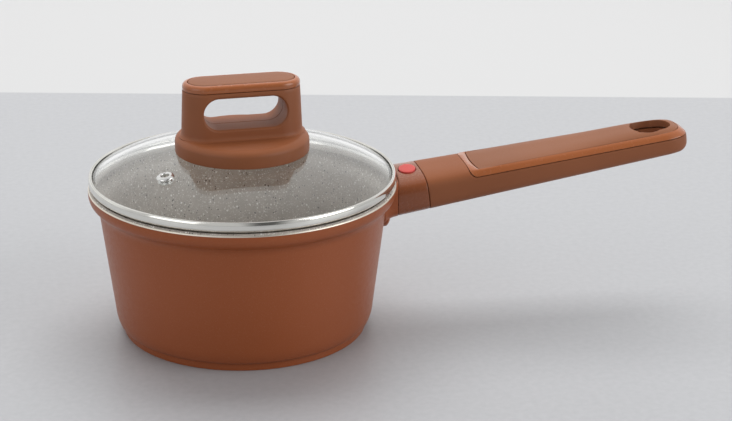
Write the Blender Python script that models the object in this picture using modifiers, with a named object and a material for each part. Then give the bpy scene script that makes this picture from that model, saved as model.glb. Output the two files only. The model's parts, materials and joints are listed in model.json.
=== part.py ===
"""A lidded saucepan with a long side handle, copper-coloured, stone-speckled inside.

The pan stands on Z = 0 with its centre on the Z axis, and the handle runs out along +X.
The handle's own pieces are drawn in a frame whose X runs along the handle, from where the
handle's axis meets the rim.
"""

import bpy
import bmesh
from math import atan, cos, pi, radians, sin
from mathutils import Matrix, Vector

MM = 0.001

# Pan
RIM_RADIUS = 83.0 * MM
RIM_HEIGHT = 81.7 * MM
RIM_BAND = 9.3 * MM
RIM_OVERHANG = 5.8 * MM
WALL_TAPER = 6.3 * MM
WALL = 2.9 * MM
FLOOR = 6.5 * MM
FOOT_STEP = 4.2 * MM
FOOT_HEIGHT = 4.2 * MM
FOOT_RING = 6.7 * MM
DISC_THICKNESS = 1.4 * MM
GAP = 0.3 * MM
WALL_TOP_RADIUS = RIM_RADIUS - RIM_OVERHANG
WALL_FOOT_RADIUS = WALL_TOP_RADIUS - WALL_TAPER
FOOT_RADIUS = WALL_FOOT_RADIUS - FOOT_STEP
DISC_RADIUS = FOOT_RADIUS - FOOT_RING

# Handle
HANDLE_RISE = radians(8.0)
HANDLE_DROP = 10.4 * MM
HANDLE_LENGTH = 169.0 * MM
HALF_WIDTH_ROOT = 20.3 * MM
HALF_WIDTH_TIP = 15.6 * MM
HALF_HEIGHT_ROOT = 10.7 * MM
HALF_HEIGHT_TIP = 7.0 * MM
SECTION_POWER = 3.4
LUG_PROUD = 1.0 * MM
LUG_DEPTH = 17.0 * MM
LUG_FOOT_PROUD = 3.4 * MM
LUG_FOOT_WIDTH = 39.0 * MM
COLLAR_END = 15.9 * MM
FRAME_START = 40.8 * MM
FRAME_BAR = 5.0 * MM
FRAME_LEVEL = 5.2 * MM
FRAME_STRIP = 3.2 * MM
INLAY_LEVEL = 7.7 * MM
HOLE_LENGTH = 20.8 * MM
HOLE_HALF_WIDTH = 8.5 * MM
TIP_MARGIN = 8.0 * MM
TIP_ROUND = 16.0 * MM
TIP_DROP = 7.5 * MM
HANDLE_HEIGHT = RIM_HEIGHT - HANDLE_DROP
LUG_RADIUS = RIM_RADIUS + LUG_PROUD

# Tongue, catch and button
TONGUE_WIDTH = 10.0 * MM
TONGUE_THICKNESS = 2.0 * MM
TONGUE_TOP = -0.2 * MM
TONGUE_END = 18.0 * MM
FLANGE_SHOULDER = 5.0 * MM
BUTTON_CENTRE = 9.3 * MM
BUTTON_LENGTH = 9.2 * MM
BUTTON_WIDTH = 14.0 * MM
BUTTON_PROUD = 0.8 * MM
BUTTON_FLANGE = 1.8 * MM
BUTTON_TRAVEL = 2.2 * MM
LEG_CLEARANCE = 0.7 * MM
LEG_THICKNESS = 1.5 * MM
LEAF_THICKNESS = 0.8 * MM
LEAF_TOP = -3.8 * MM
LEAF_WIDTH = 10.0 * MM
LEAF_END = 45.0 * MM
CAVITY_CLEARANCE = 0.6 * MM
SCREW_DIAMETER = 3.0 * MM
SCREW_HEAD = 5.4 * MM
FLANGE_WIDTH = TONGUE_WIDTH + 2 * FLANGE_SHOULDER
COLLAR_CAVITY = FLANGE_WIDTH + 2 * CAVITY_CLEARANCE
WINDOW_WIDTH = TONGUE_WIDTH - 4.0 * MM
BRACKET_SCREW_OFFSET = TONGUE_WIDTH / 2 + 2.2 * MM
LEG_INNER = TONGUE_WIDTH / 2 + LEG_CLEARANCE
LEG_OUTER = LEG_INNER + LEG_THICKNESS

# Lid
BAND_RADIUS = RIM_RADIUS - GAP
BAND_RISE = 6.3 * MM
BAND_LAP = 1.3 * MM
GLASS_RISE = 14.3 * MM
GLASS_FALL = 15.6 * MM
GLASS_THICKNESS = 4.0 * MM
VENT_REACH = 54.0 * MM
VENT_ANGLE = radians(-145.2)
VENT_DIAMETER = 9.5 * MM
BAND_TOP = RIM_HEIGHT + BAND_RISE
GLASS_RADIUS = BAND_RADIUS - BAND_LAP
GLASS_CROWN = BAND_TOP + GLASS_RISE
GLASS_SPAN = BAND_RADIUS - 1.9 * MM

# Knob
KNOB_TURN = radians(3.5)
SKIRT_RADIUS = 36.0 * MM
SKIRT_LIP = 2.7 * MM
SKIRT_CLEARANCE = 0.4 * MM
SKIRT_HEIGHT = 9.35 * MM
LOOP_MARGIN = 3.3 * MM
LOOP_TAPER = 2.2 * MM
LOOP_WIDTH_FOOT = 28.0 * MM
LOOP_WIDTH_TOP = 24.5 * MM
LOOP_HEIGHT = 25.25 * MM
SLOT_MARGIN = 9.25 * MM
SLOT_HEIGHT = 16.6 * MM
SLOT_RISE = 14.0 * MM
CAP_HEIGHT = 3.8 * MM
PLATE_END_MARGIN = 3.1 * MM
PLATE_SIDE_MARGIN = 3.4 * MM
KNOB_SCREW = 4.0 * MM
INSERT_WALL = 2.0 * MM
CAP_PEG_MARGIN = 4.6 * MM
SKIRT_FALL = GLASS_FALL * ((SKIRT_RADIUS - SKIRT_LIP) / GLASS_SPAN) ** 2
SKIRT_FOOT = GLASS_CROWN - SKIRT_FALL + SKIRT_CLEARANCE
SKIRT_TOP = SKIRT_FOOT + SKIRT_HEIGHT
LOOP_LENGTH_FOOT = 2 * (SKIRT_RADIUS - LOOP_MARGIN)
LOOP_LENGTH_TOP = LOOP_LENGTH_FOOT - LOOP_TAPER
LOOP_TOP = SKIRT_TOP + LOOP_HEIGHT
SLOT_LENGTH = LOOP_LENGTH_TOP - 2 * SLOT_MARGIN
SLOT_CENTRE = SKIRT_TOP + SLOT_RISE
PLATE_LENGTH = LOOP_LENGTH_TOP - 2 * PLATE_END_MARGIN
PLATE_WIDTH = LOOP_WIDTH_TOP - 2 * PLATE_SIDE_MARGIN
INSERT_RADIUS = KNOB_SCREW / 2 + INSERT_WALL

ROUND = 48
SMALL_ROUND = 24


def clear_scene():
    for thing in list(bpy.data.objects):
        bpy.data.objects.remove(thing, do_unlink=True)
    for group in list(bpy.data.collections):
        bpy.data.collections.remove(group)


clear_scene()
parts = bpy.data.collections.new("saucepan")
bpy.context.scene.collection.children.link(parts)
cutters = bpy.data.collections.new("cutters")
bpy.context.scene.collection.children.link(cutters)
cutters.hide_render = True


def material(name, colour, roughness=0.5, metallic=0.0, glass=0.0):
    made = bpy.data.materials.new(name)
    made.use_nodes = True
    shader = made.node_tree.nodes["Principled BSDF"]
    shader.inputs["Base Color"].default_value = (*colour, 1.0)
    shader.inputs["Roughness"].default_value = roughness
    shader.inputs["Metallic"].default_value = metallic
    shader.inputs["Transmission Weight"].default_value = glass
    return made


def place(obj, paint=None, parent=None):
    """Put a finished object among the parts, or among the cutters if it has no paint."""
    (parts if paint else cutters).objects.link(obj)
    if paint:
        obj.data.materials.append(material(obj.name, *paint))
    else:
        obj.hide_render = True
        obj.display_type = "WIRE"
    obj.parent = parent
    return obj


def from_bmesh(name, shape, paint=None, parent=None):
    bmesh.ops.recalc_face_normals(shape, faces=shape.faces)
    mesh = bpy.data.meshes.new(name)
    shape.to_mesh(mesh)
    shape.free()
    return place(bpy.data.objects.new(name, mesh), paint, parent)


def turned(name, profile, paint=None, parent=None, steps=ROUND, ring=False):
    """Turn (radius, height) points about Z. They run from the top down the outer side."""
    mesh = bpy.data.meshes.new(name)
    edges = [(i, i + 1) for i in range(len(profile) - 1)]
    if ring:
        edges.append((len(profile) - 1, 0))
    mesh.from_pydata([(r, 0.0, z) for r, z in profile], edges, [])
    obj = place(bpy.data.objects.new(name, mesh), paint, parent)
    screw = obj.modifiers.new("Turn", "SCREW")
    screw.steps = screw.render_steps = steps
    screw.use_merge_vertices = True
    screw.merge_threshold = 0.00001
    return obj


def box(name, low, high, paint=None, parent=None, edge=0.0):
    shape = bmesh.new()
    bmesh.ops.create_cube(shape, size=1.0)
    size = [b - a for a, b in zip(low, high)]
    middle = [(a + b) / 2 for a, b in zip(low, high)]
    bmesh.ops.scale(shape, vec=size, verts=shape.verts)
    bmesh.ops.translate(shape, vec=middle, verts=shape.verts)
    obj = from_bmesh(name, shape, paint, parent)
    if edge:
        bevel = obj.modifiers.new("Edges", "BEVEL")
        bevel.width = edge
        bevel.segments = 2
    return obj


def rod(name, foot, top, radius, paint=None, parent=None, steps=SMALL_ROUND):
    """A round bar from one point to another."""
    foot = Vector(foot)
    along = Vector(top) - foot
    shape = bmesh.new()
    bmesh.ops.create_cone(
        shape, cap_ends=True, segments=steps, radius1=radius, radius2=radius, depth=along.length
    )
    turn = along.to_track_quat("Z", "Y").to_matrix().to_4x4()
    bmesh.ops.transform(
        shape, matrix=Matrix.Translation(foot + along / 2) @ turn, verts=shape.verts
    )
    return from_bmesh(name, shape, paint, parent)


def loft(name, sections, paint=None, parent=None):
    """Join closed rings of points, all with the same count, and cap both ends."""
    shape = bmesh.new()
    rings = [[shape.verts.new(point) for point in section] for section in sections]
    count = len(rings[0])
    for lower, upper in zip(rings, rings[1:]):
        for i in range(count):
            j = (i + 1) % count
            shape.faces.new((lower[i], lower[j], upper[j], upper[i]))
    shape.faces.new(rings[0])
    shape.faces.new(rings[-1])
    return from_bmesh(name, shape, paint, parent)


def slab(name, outline, low, high, paint=None, parent=None, axes="xyz"):
    """A flat outline given depth between two levels. The axes name where each number goes."""
    def point(a, b, c):
        spot = dict(zip(axes, (a, b, c)))
        return (spot["x"], spot["y"], spot["z"])
    return loft(
        name,
        [[point(a, b, low) for a, b in outline], [point(a, b, high) for a, b in outline]],
        paint,
        parent,
    )


def boolean(obj, other, operation="DIFFERENCE"):
    cut = obj.modifiers.new(other.name, "BOOLEAN")
    cut.operation = operation
    cut.object = other
    cut.solver = "EXACT"
    return cut


def stadium(length, width, centre=(0.0, 0.0), steps=10):
    """A straight-sided outline with round ends, anticlockwise."""
    r = width / 2
    reach = length / 2 - r
    points = []
    for side, start in ((1, -pi / 2), (-1, pi / 2)):
        for i in range(steps + 1):
            angle = start + pi * i / steps
            points.append(
                (centre[0] + side * reach + r * cos(angle), centre[1] + r * sin(angle))
            )
    return points


def oval(length, width, centre=(0.0, 0.0), steps=32):
    return [
        (
            centre[0] + length / 2 * cos(2 * pi * i / steps),
            centre[1] + width / 2 * sin(2 * pi * i / steps),
        )
        for i in range(steps)
    ]


# Colours, roughness, metal, glass
LACQUER = ((0.19, 0.055, 0.026), 0.38)
MATT = ((0.17, 0.058, 0.028), 0.62)
GLOSS = ((0.22, 0.075, 0.038), 0.2)
RED = ((0.55, 0.045, 0.03), 0.35)
STEEL = ((0.6, 0.6, 0.58), 0.25, 1.0)
BRASS = ((0.75, 0.55, 0.25), 0.35, 1.0)
CLEAR = ((0.95, 0.97, 0.96), 0.03, 0.0, 1.0)
RUBBER = ((0.72, 0.72, 0.7), 0.6)

# ---------------------------------------------------------------- pan
wall_foot = 14.5 * MM
band_foot = RIM_HEIGHT - RIM_BAND
outside = [
    (0.0, RIM_HEIGHT),
    (RIM_RADIUS - 2.1 * MM, RIM_HEIGHT),
    (RIM_RADIUS - 0.8 * MM, RIM_HEIGHT - 0.2 * MM),
    (RIM_RADIUS, RIM_HEIGHT - 0.7 * MM),
    (RIM_RADIUS, RIM_HEIGHT - 4.3 * MM),
    (RIM_RADIUS - 0.7 * MM, RIM_HEIGHT - 6.5 * MM),
    (RIM_RADIUS - 2.1 * MM, RIM_HEIGHT - 8.3 * MM),
    (RIM_RADIUS - 3.5 * MM, band_foot),
    (WALL_TOP_RADIUS + 0.9 * MM, band_foot - 1.2 * MM),
    (WALL_TOP_RADIUS + 0.4 * MM, band_foot - 3.2 * MM),
    (WALL_TOP_RADIUS, band_foot - 6.4 * MM),
    (WALL_FOOT_RADIUS, wall_foot),
    (WALL_FOOT_RADIUS - 0.6 * MM, wall_foot - 5.5 * MM),
    (WALL_FOOT_RADIUS - 1.7 * MM, FOOT_HEIGHT + 1.4 * MM),
    (WALL_FOOT_RADIUS - 2.6 * MM, FOOT_HEIGHT + 0.3 * MM),
    (FOOT_RADIUS + 0.2 * MM, FOOT_HEIGHT),
    (FOOT_RADIUS, FOOT_HEIGHT - 0.3 * MM),
    (FOOT_RADIUS, 0.5 * MM),
    (FOOT_RADIUS - 0.5 * MM, 0.0),
    (DISC_RADIUS + GAP, 0.0),
    (DISC_RADIUS + GAP, DISC_THICKNESS + GAP),
    (0.0, DISC_THICKNESS + GAP),
]
pot = turned("pot_body", outside, LACQUER)

inside = [
    (0.0, RIM_HEIGHT + 8 * MM),
    (RIM_RADIUS - 2.1 * MM, RIM_HEIGHT + 8 * MM),
    (RIM_RADIUS - 2.1 * MM, RIM_HEIGHT + 0.1 * MM),
    (RIM_RADIUS - 2.7 * MM, RIM_HEIGHT - 0.5 * MM),
    (RIM_RADIUS - 3.0 * MM, RIM_HEIGHT - 1.5 * MM),
    (RIM_RADIUS - 3.4 * MM, RIM_HEIGHT - 4.2 * MM),
    (RIM_RADIUS - 5.0 * MM, RIM_HEIGHT - 7.7 * MM),
    (WALL_TOP_RADIUS - WALL + 1.0 * MM, band_foot - 1.9 * MM),
    (WALL_TOP_RADIUS - WALL, band_foot - 6.4 * MM),
    (WALL_FOOT_RADIUS - WALL, FLOOR + 8.5 * MM),
    (WALL_FOOT_RADIUS - WALL - 1.4 * MM, FLOOR + 4.0 * MM),
    (WALL_FOOT_RADIUS - WALL - 4.8 * MM, FLOOR + 1.1 * MM),
    (WALL_FOOT_RADIUS - WALL - 10.0 * MM, FLOOR + 0.3 * MM),
    (0.0, FLOOR),
]
bowl_cut = turned("bowl_cut", inside)

handle = bpy.data.objects.new("handle_frame", None)
parts.objects.link(handle)
handle.location = (RIM_RADIUS, 0.0, HANDLE_HEIGHT)
handle.rotation_euler = (0.0, -HANDLE_RISE, 0.0)
bpy.context.view_layer.update()


def half_width(s):
    return HALF_WIDTH_ROOT + (HALF_WIDTH_TIP - HALF_WIDTH_ROOT) * s / HANDLE_LENGTH


def half_height(s):
    return HALF_HEIGHT_ROOT + (HALF_HEIGHT_TIP - HALF_HEIGHT_ROOT) * s / HANDLE_LENGTH


def section(s, wide, high, steps=40):
    """A softened rectangle across the handle, at distance s along it."""
    points = []
    for i in range(steps):
        angle = 2 * pi * i / steps
        c, t = cos(angle), sin(angle)
        y = wide * abs(c) ** (2 / SECTION_POWER) * (1 if c >= 0 else -1)
        z = high * abs(t) ** (2 / SECTION_POWER) * (1 if t >= 0 else -1)
        points.append((s, y, z))
    return points


def bar(name, stations, paint=None):
    sections = [section(s, half_width(s), half_height(s)) for s in stations]
    return loft(name, sections, paint, handle)


def tip_share(s, start, power):
    """How much of the full width is left in the rounded end of the handle."""
    if s <= start:
        return 1.0
    return (1 - ((s - start) / (HANDLE_LENGTH - start)) ** power) ** (1 / power)


lug = loft(
    "lug_bar",
    [
        section(-9.5 * MM, half_width(0) + 1.2 * MM, half_height(0) + 1.2 * MM),
        section(-6.0 * MM, half_width(0) + 0.5 * MM, half_height(0) + 0.5 * MM),
        section(-3.0 * MM, half_width(0), half_height(0)),
        section(6.0 * MM, half_width(6 * MM), half_height(6 * MM)),
    ],
    None,
    handle,
)
lug_top = RIM_HEIGHT - 1.1 * MM
lug_round = turned(
    "lug_round", [(0.0, lug_top), (LUG_RADIUS, lug_top), (LUG_RADIUS, 0.0), (0.0, 0.0)]
)
boolean(lug, lug_round, "INTERSECT")
lug_heel = HANDLE_HEIGHT - LUG_DEPTH


def wall_radius(z):
    """The straight part of the pan's outer wall."""
    share = (z - wall_foot) / (band_foot - 6.4 * MM - wall_foot)
    return WALL_FOOT_RADIUS + WALL_TAPER * share


lug_foot = turned(
    "lug_foot",
    [
        (0.0, lug_heel + 12.0 * MM),
        (wall_radius(lug_heel + 12.0 * MM) + LUG_FOOT_PROUD, lug_heel + 12.0 * MM),
        (wall_radius(lug_heel + 7.0 * MM) + LUG_FOOT_PROUD, lug_heel + 7.0 * MM),
        (wall_radius(lug_heel + 4.5 * MM) + LUG_FOOT_PROUD * 0.85, lug_heel + 4.5 * MM),
        (wall_radius(lug_heel + 2.0 * MM) + LUG_FOOT_PROUD * 0.5, lug_heel + 2.0 * MM),
        (wall_radius(lug_heel) - 0.2 * MM, lug_heel),
        (0.0, lug_heel),
    ],
)
lug_foot_shape = slab(
    "lug_foot_shape",
    [
        (LUG_FOOT_WIDTH / 2 * c, lug_heel + 12.0 * MM + 12.4 * MM * t)
        for c, t in (
            (1.0, 0.0), (0.98, -0.4), (0.92, -0.67), (0.8, -0.86), (0.6, -0.97), (0.3, -1.0),
            (-0.3, -1.0), (-0.6, -0.97), (-0.8, -0.86), (-0.92, -0.67), (-0.98, -0.4), (-1.0, 0.0),
        )
    ],
    WALL_FOOT_RADIUS - 12 * MM,
    RIM_RADIUS + 10 * MM,
    None,
    None,
    "yzx",
)
boolean(lug_foot, lug_foot_shape, "INTERSECT")
flange_half = FLANGE_WIDTH / 2
flange_low = -6.0 * MM
flange_high = 3.6 * MM
flange_pocket = box(
    "flange_pocket",
    (-1.6 * MM, -flange_half - GAP, flange_low - GAP),
    (12 * MM, flange_half + GAP, flange_high + GAP),
    None,
    handle,
)
boolean(pot, lug, "UNION")
boolean(pot, lug_foot, "UNION")
boolean(pot, bowl_cut)
boolean(pot, flange_pocket)
for side in (-1, 1):
    bore = rod(
        f"bracket_bore_{side + 2}",
        (-5.4 * MM, side * BRACKET_SCREW_OFFSET, -1.2 * MM),
        (6 * MM, side * BRACKET_SCREW_OFFSET, -1.2 * MM),
        SCREW_DIAMETER / 2 + GAP,
        None,
        handle,
    )
    boolean(pot, bore)

disc = turned(
    "base_disc",
    [
        (0.0, DISC_THICKNESS),
        (DISC_RADIUS, DISC_THICKNESS),
        (DISC_RADIUS, 0.3 * MM),
        (DISC_RADIUS - 0.3 * MM, 0.0),
        (DISC_RADIUS - 16.0 * MM, 0.0),
        (DISC_RADIUS - 16.4 * MM, 0.4 * MM),
        (DISC_RADIUS - 17.6 * MM, 0.4 * MM),
        (DISC_RADIUS - 18.0 * MM, 0.0),
        (0.0, 0.0),
    ],
    STEEL,
)

# ---------------------------------------------------------------- bracket and its tongue
bracket = box(
    "handle_bracket",
    (-1.3 * MM, -flange_half, flange_low),
    (0.3 * MM, flange_half, flange_high),
    STEEL,
    handle,
)
tongue_low = TONGUE_TOP - TONGUE_THICKNESS
tongue = box(
    "tongue_bar",
    (-0.5 * MM, -TONGUE_WIDTH / 2, tongue_low),
    (TONGUE_END, TONGUE_WIDTH / 2, TONGUE_TOP),
    None,
    handle,
)
boolean(bracket, tongue, "UNION")
window_half = WINDOW_WIDTH / 2
window = box(
    "tongue_window",
    (10.4 * MM, -window_half, -9 * MM),
    (15.4 * MM, window_half, 4 * MM),
    None,
    handle,
)
boolean(bracket, window)
for side in (-1, 1):
    boolean(bracket, bpy.data.objects[f"bracket_bore_{side + 2}"])


def screw(name, foot, top, shank, head, head_height, paint=STEEL, parent=None):
    """A pan-headed screw: the head stands behind the foot, the shank runs to the top."""
    foot = Vector(foot)
    way = (Vector(top) - foot).normalized()
    turn = way.to_track_quat("Z", "Y").to_matrix().to_4x4()
    length = (Vector(top) - foot).length
    profile = [
        (0.0, length),
        (shank * 0.3, length),
        (shank / 2, length - shank * 0.25),
        (shank / 2, 0.0),
        (head / 2, 0.0),
        (head / 2, -head_height * 0.55),
        (head * 0.36, -head_height),
        (0.0, -head_height),
    ]
    obj = turned(name, profile, paint, parent, steps=SMALL_ROUND)
    recess = box(
        name + "_recess",
        (-head * 0.28, -head * 0.055, -head_height * 1.5),
        (head * 0.28, head * 0.055, -head_height * 0.45),
    )
    cross = box(
        name + "_cross",
        (-head * 0.055, -head * 0.28, -head_height * 1.5),
        (head * 0.055, head * 0.28, -head_height * 0.45),
    )
    boolean(obj, recess)
    boolean(obj, cross)
    for thing in (obj, recess, cross):
        thing.parent = parent
        thing.matrix_local = Matrix.Translation(foot) @ turn
    return obj


for side in (-1, 1):
    screw(
        f"bracket_screw_{(side + 3) // 2}",
        (0.6 * MM, side * BRACKET_SCREW_OFFSET, -1.2 * MM),
        (-5.0 * MM, side * BRACKET_SCREW_OFFSET, -1.2 * MM),
        SCREW_DIAMETER,
        SCREW_HEAD * 0.8,
        1.7 * MM,
        STEEL,
        handle,
    )

# ---------------------------------------------------------------- collar
collar = bar("collar", [-3 * MM, 4 * MM, 10 * MM, COLLAR_END], GLOSS)
collar_round = turned(
    "collar_round",
    [
        (0.0, HANDLE_HEIGHT + 50 * MM),
        (LUG_RADIUS + GAP, HANDLE_HEIGHT + 50 * MM),
        (LUG_RADIUS + GAP, HANDLE_HEIGHT - 40 * MM),
        (0.0, HANDLE_HEIGHT - 40 * MM),
    ],
)
cavity_half = COLLAR_CAVITY / 2
flange_reach = BUTTON_WIDTH / 2 + BUTTON_FLANGE
collar_cavity = box(
    "collar_cavity",
    (-12 * MM, -cavity_half, -7.4 * MM),
    (COLLAR_END + 6 * MM, cavity_half, 5.0 * MM),
    None,
    handle,
)
flange_room = box(
    "flange_room",
    (BUTTON_CENTRE - BUTTON_LENGTH / 2 - GAP, -flange_reach - 2 * GAP, 4.0 * MM),
    (BUTTON_CENTRE + BUTTON_LENGTH / 2 + GAP, flange_reach + 2 * GAP, 7.9 * MM),
    None,
    handle,
)
button_hole = slab(
    "button_hole",
    oval(BUTTON_LENGTH + 2 * GAP, BUTTON_WIDTH + 2 * GAP, (BUTTON_CENTRE, 0.0)),
    6.0 * MM,
    20.0 * MM,
    None,
    handle,
)
boolean(collar, collar_round)
boolean(collar, collar_cavity)
boolean(collar, flange_room)
boolean(collar, button_hole)
long_screw_y = HALF_WIDTH_ROOT - 5.1 * MM
for side in (-1, 1):
    number = (side + 3) // 2
    boolean(
        collar,
        rod(
            f"collar_bore_{number}",
            (-12 * MM, side * long_screw_y, 0.0),
            (30.4 * MM, side * long_screw_y, 0.0),
            SCREW_DIAMETER / 2 + GAP,
            None,
            handle,
        ),
    )
    boolean(
        collar,
        rod(
            f"collar_sink_{number}",
            (-12 * MM, side * long_screw_y, 0.0),
            (3.6 * MM, side * long_screw_y, 0.0),
            SCREW_HEAD / 2 + GAP,
            None,
            handle,
        ),
    )
    screw(
        f"collar_screw_{number}",
        (3.3 * MM, side * long_screw_y, 0.0),
        (30.0 * MM, side * long_screw_y, 0.0),
        SCREW_DIAMETER,
        SCREW_HEAD,
        2.0 * MM,
        STEEL,
        handle,
    )

# ---------------------------------------------------------------- grip, frame and inlay
plan_tip = HANDLE_LENGTH - TIP_ROUND
side_tip = HANDLE_LENGTH - TIP_DROP
hole_start = HANDLE_LENGTH - TIP_MARGIN - HOLE_LENGTH
grip_start = COLLAR_END + GAP
stations = [grip_start + (plan_tip - grip_start) * i / 5 for i in range(6)]
stations += [plan_tip + (TIP_ROUND - 0.2 * MM) * sin(pi / 2 * i / 7) for i in range(1, 8)]


def grip_form(name, paint=None):
    sections = []
    for s in stations:
        sections.append(
            section(
                s,
                half_width(s) * tip_share(s, plan_tip, 2.6),
                half_height(s) * tip_share(s, side_tip, 2.4),
            )
        )
    return loft(name, sections, paint, handle)


def frame_level(s):
    return FRAME_LEVEL - 0.0135 * (s - FRAME_START)


def inlay_level(s):
    return INLAY_LEVEL - 0.0127 * (s - FRAME_START)


def side_outline(start, drop):
    """The frame's lower edge seen from the side: down, round the corner, and along."""
    corner = 4.0 * MM
    end = HANDLE_LENGTH + 30 * MM
    points = [(end, 25 * MM), (start, 25 * MM)]
    for i in range(6):
        angle = pi + (pi / 2) * i / 5
        points.append(
            (
                start + corner + corner * cos(angle),
                frame_level(start + corner) + drop + corner + corner * sin(angle),
            )
        )
    points.append((end, frame_level(end) + drop))
    return points


def inlay_outline(grow):
    """The inlay's edge seen from above."""
    start = FRAME_START + FRAME_BAR - grow
    end = HANDLE_LENGTH - FRAME_STRIP - 1.0 * MM + grow
    corner = 2.6 * MM

    def edge(s):
        share = 1.0
        if s > plan_tip:
            share = (1 - ((s - plan_tip) / (end - plan_tip)) ** 2.5) ** (1 / 2.5)
        return (half_width(s) - FRAME_STRIP) * share + grow * share

    near = [(start, edge(start) - corner), (start + corner * 0.3, edge(start) - corner * 0.3)]
    near.append((start + corner, edge(start + corner)))
    for i in range(1, 4):
        s = start + corner + (plan_tip - start - corner) * i / 3
        near.append((s, edge(s)))
    for i in range(1, 7):
        s = plan_tip + (end - plan_tip) * sin(pi / 2 * i / 7)
        near.append((s, edge(s)))
    near.append((end, 2.0 * MM))
    return [(s, -y) for s, y in near] + [(s, y) for s, y in reversed(near)]


def hole_outline(grow):
    """The hanging hole: square towards the pan, round towards the tip."""
    start = hole_start - grow
    wide = HOLE_HALF_WIDTH + grow
    corner = 3.5 * MM
    middle = hole_start + HOLE_LENGTH - HOLE_HALF_WIDTH
    points = []
    for i in range(13):
        angle = -pi / 2 + pi * i / 12
        points.append((middle + wide * cos(angle), wide * sin(angle)))
    for i in range(5):
        angle = pi / 2 + (pi / 2) * i / 4
        points.append((start + corner + corner * cos(angle), wide - corner + corner * sin(angle)))
    for i in range(5):
        angle = pi + (pi / 2) * i / 4
        points.append((start + corner + corner * cos(angle), corner - wide + corner * sin(angle)))
    return points


grip = grip_form("grip", MATT)
frame = grip_form("trim_frame", GLOSS)
inlay = grip_form("top_inlay", MATT)
beside = 40 * MM
upper_grip = slab(
    "upper_grip", side_outline(FRAME_START - GAP, -GAP), -beside, beside, None, handle, "xzy"
)
upper_frame = slab(
    "upper_frame", side_outline(FRAME_START, 0.0), -beside, beside, None, handle, "xzy"
)
reach = HANDLE_LENGTH + 30 * MM
above_pocket = slab(
    "above_pocket",
    [
        (0.0, inlay_level(0.0) - GAP),
        (reach, inlay_level(reach) - GAP),
        (reach, 25 * MM),
        (0.0, 25 * MM),
    ],
    -40 * MM,
    40 * MM,
    None,
    handle,
    "xzy",
)
above_inlay = slab(
    "above_inlay",
    [(0.0, inlay_level(0.0)), (reach, inlay_level(reach)), (reach, 25 * MM), (0.0, 25 * MM)],
    -40 * MM,
    40 * MM,
    None,
    handle,
    "xzy",
)
pocket_prism = slab("pocket_prism", inlay_outline(GAP), -5 * MM, 30 * MM, None, handle)
inlay_prism = slab("inlay_prism", inlay_outline(0.0), -5 * MM, 30 * MM, None, handle)
hang_hole = slab("hang_hole", hole_outline(0.0), -30 * MM, 30 * MM, None, handle)
boolean(pocket_prism, above_pocket, "INTERSECT")
boolean(grip, upper_grip)
boolean(grip, hang_hole)
boolean(frame, upper_frame, "INTERSECT")
boolean(frame, pocket_prism)
boolean(inlay, above_inlay, "INTERSECT")
boolean(inlay, inlay_prism, "INTERSECT")
peg_foot = -1.5 * MM
for number, s in enumerate((FRAME_START + 25.2 * MM, hole_start - 18.2 * MM), 1):
    boolean(
        frame,
        rod(
            f"frame_peg_{number}",
            (s, 0, peg_foot),
            (s, 0, frame_level(s) + 0.6 * MM),
            2.5 * MM,
            None,
            handle,
        ),
        "UNION",
    )
    boolean(
        grip,
        rod(
            f"peg_bore_{number}",
            (s, 0, peg_foot - 2 * GAP),
            (s, 0, 12 * MM),
            2.5 * MM + GAP,
            None,
            handle,
        ),
    )
boolean(frame, hang_hole)
boolean(inlay, hang_hole)

spring_room = box(
    "spring_room",
    (5 * MM, -LEG_OUTER - 0.8 * MM, -7.0 * MM),
    (36 * MM, LEG_OUTER + 0.8 * MM, 1.0 * MM),
    None,
    handle,
)
spring_shelf = box(
    "spring_shelf",
    (30 * MM, -LEG_OUTER - 0.8 * MM, LEAF_TOP - LEAF_THICKNESS - GAP),
    (LEAF_END + 1 * MM, LEG_OUTER + 0.8 * MM, 1.0 * MM),
    None,
    handle,
)
boolean(grip, spring_room)
boolean(grip, spring_shelf)
for number in (1, 2):
    boolean(grip, bpy.data.objects[f"collar_bore_{number}"])
catch_screw_s = 40.5 * MM
boolean(
    grip,
    rod(
        "catch_bore",
        (catch_screw_s, 0, -20 * MM),
        (catch_screw_s, 0, 0),
        SCREW_DIAMETER / 2 + GAP,
        None,
        handle,
    ),
)
boolean(
    grip,
    rod(
        "catch_sink",
        (catch_screw_s, 0, -20 * MM),
        (catch_screw_s, 0, -7.0 * MM),
        SCREW_HEAD / 2 + GAP,
        None,
        handle,
    ),
)
screw(
    "catch_screw",
    (catch_screw_s, 0, -7.3 * MM),
    (catch_screw_s, 0, LEAF_TOP + 1.0 * MM),
    SCREW_DIAMETER,
    SCREW_HEAD,
    1.8 * MM,
    STEEL,
    handle,
)

# ---------------------------------------------------------------- catch spring and button
wing = LEG_OUTER + GAP
leaf_half = LEAF_WIDTH / 2
leaf = slab(
    "catch_spring",
    [
        (4.6 * MM, -wing),
        (13.8 * MM, -wing),
        (16.5 * MM, -leaf_half),
        (LEAF_END, -leaf_half),
        (LEAF_END, leaf_half),
        (16.5 * MM, leaf_half),
        (13.8 * MM, wing),
        (4.6 * MM, wing),
    ],
    LEAF_TOP - LEAF_THICKNESS,
    LEAF_TOP,
    STEEL,
    handle,
)
tooth = slab(
    "catch_tooth",
    [
        (10.9 * MM, LEAF_TOP - 0.4 * MM),
        (13.9 * MM, LEAF_TOP - 0.4 * MM),
        (13.1 * MM, -0.6 * MM),
        (10.9 * MM, -0.6 * MM),
    ],
    2 * GAP - window_half,
    window_half - 2 * GAP,
    None,
    handle,
    "xzy",
)
boolean(leaf, tooth, "UNION")
boolean(leaf, bpy.data.objects["catch_bore"])

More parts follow.
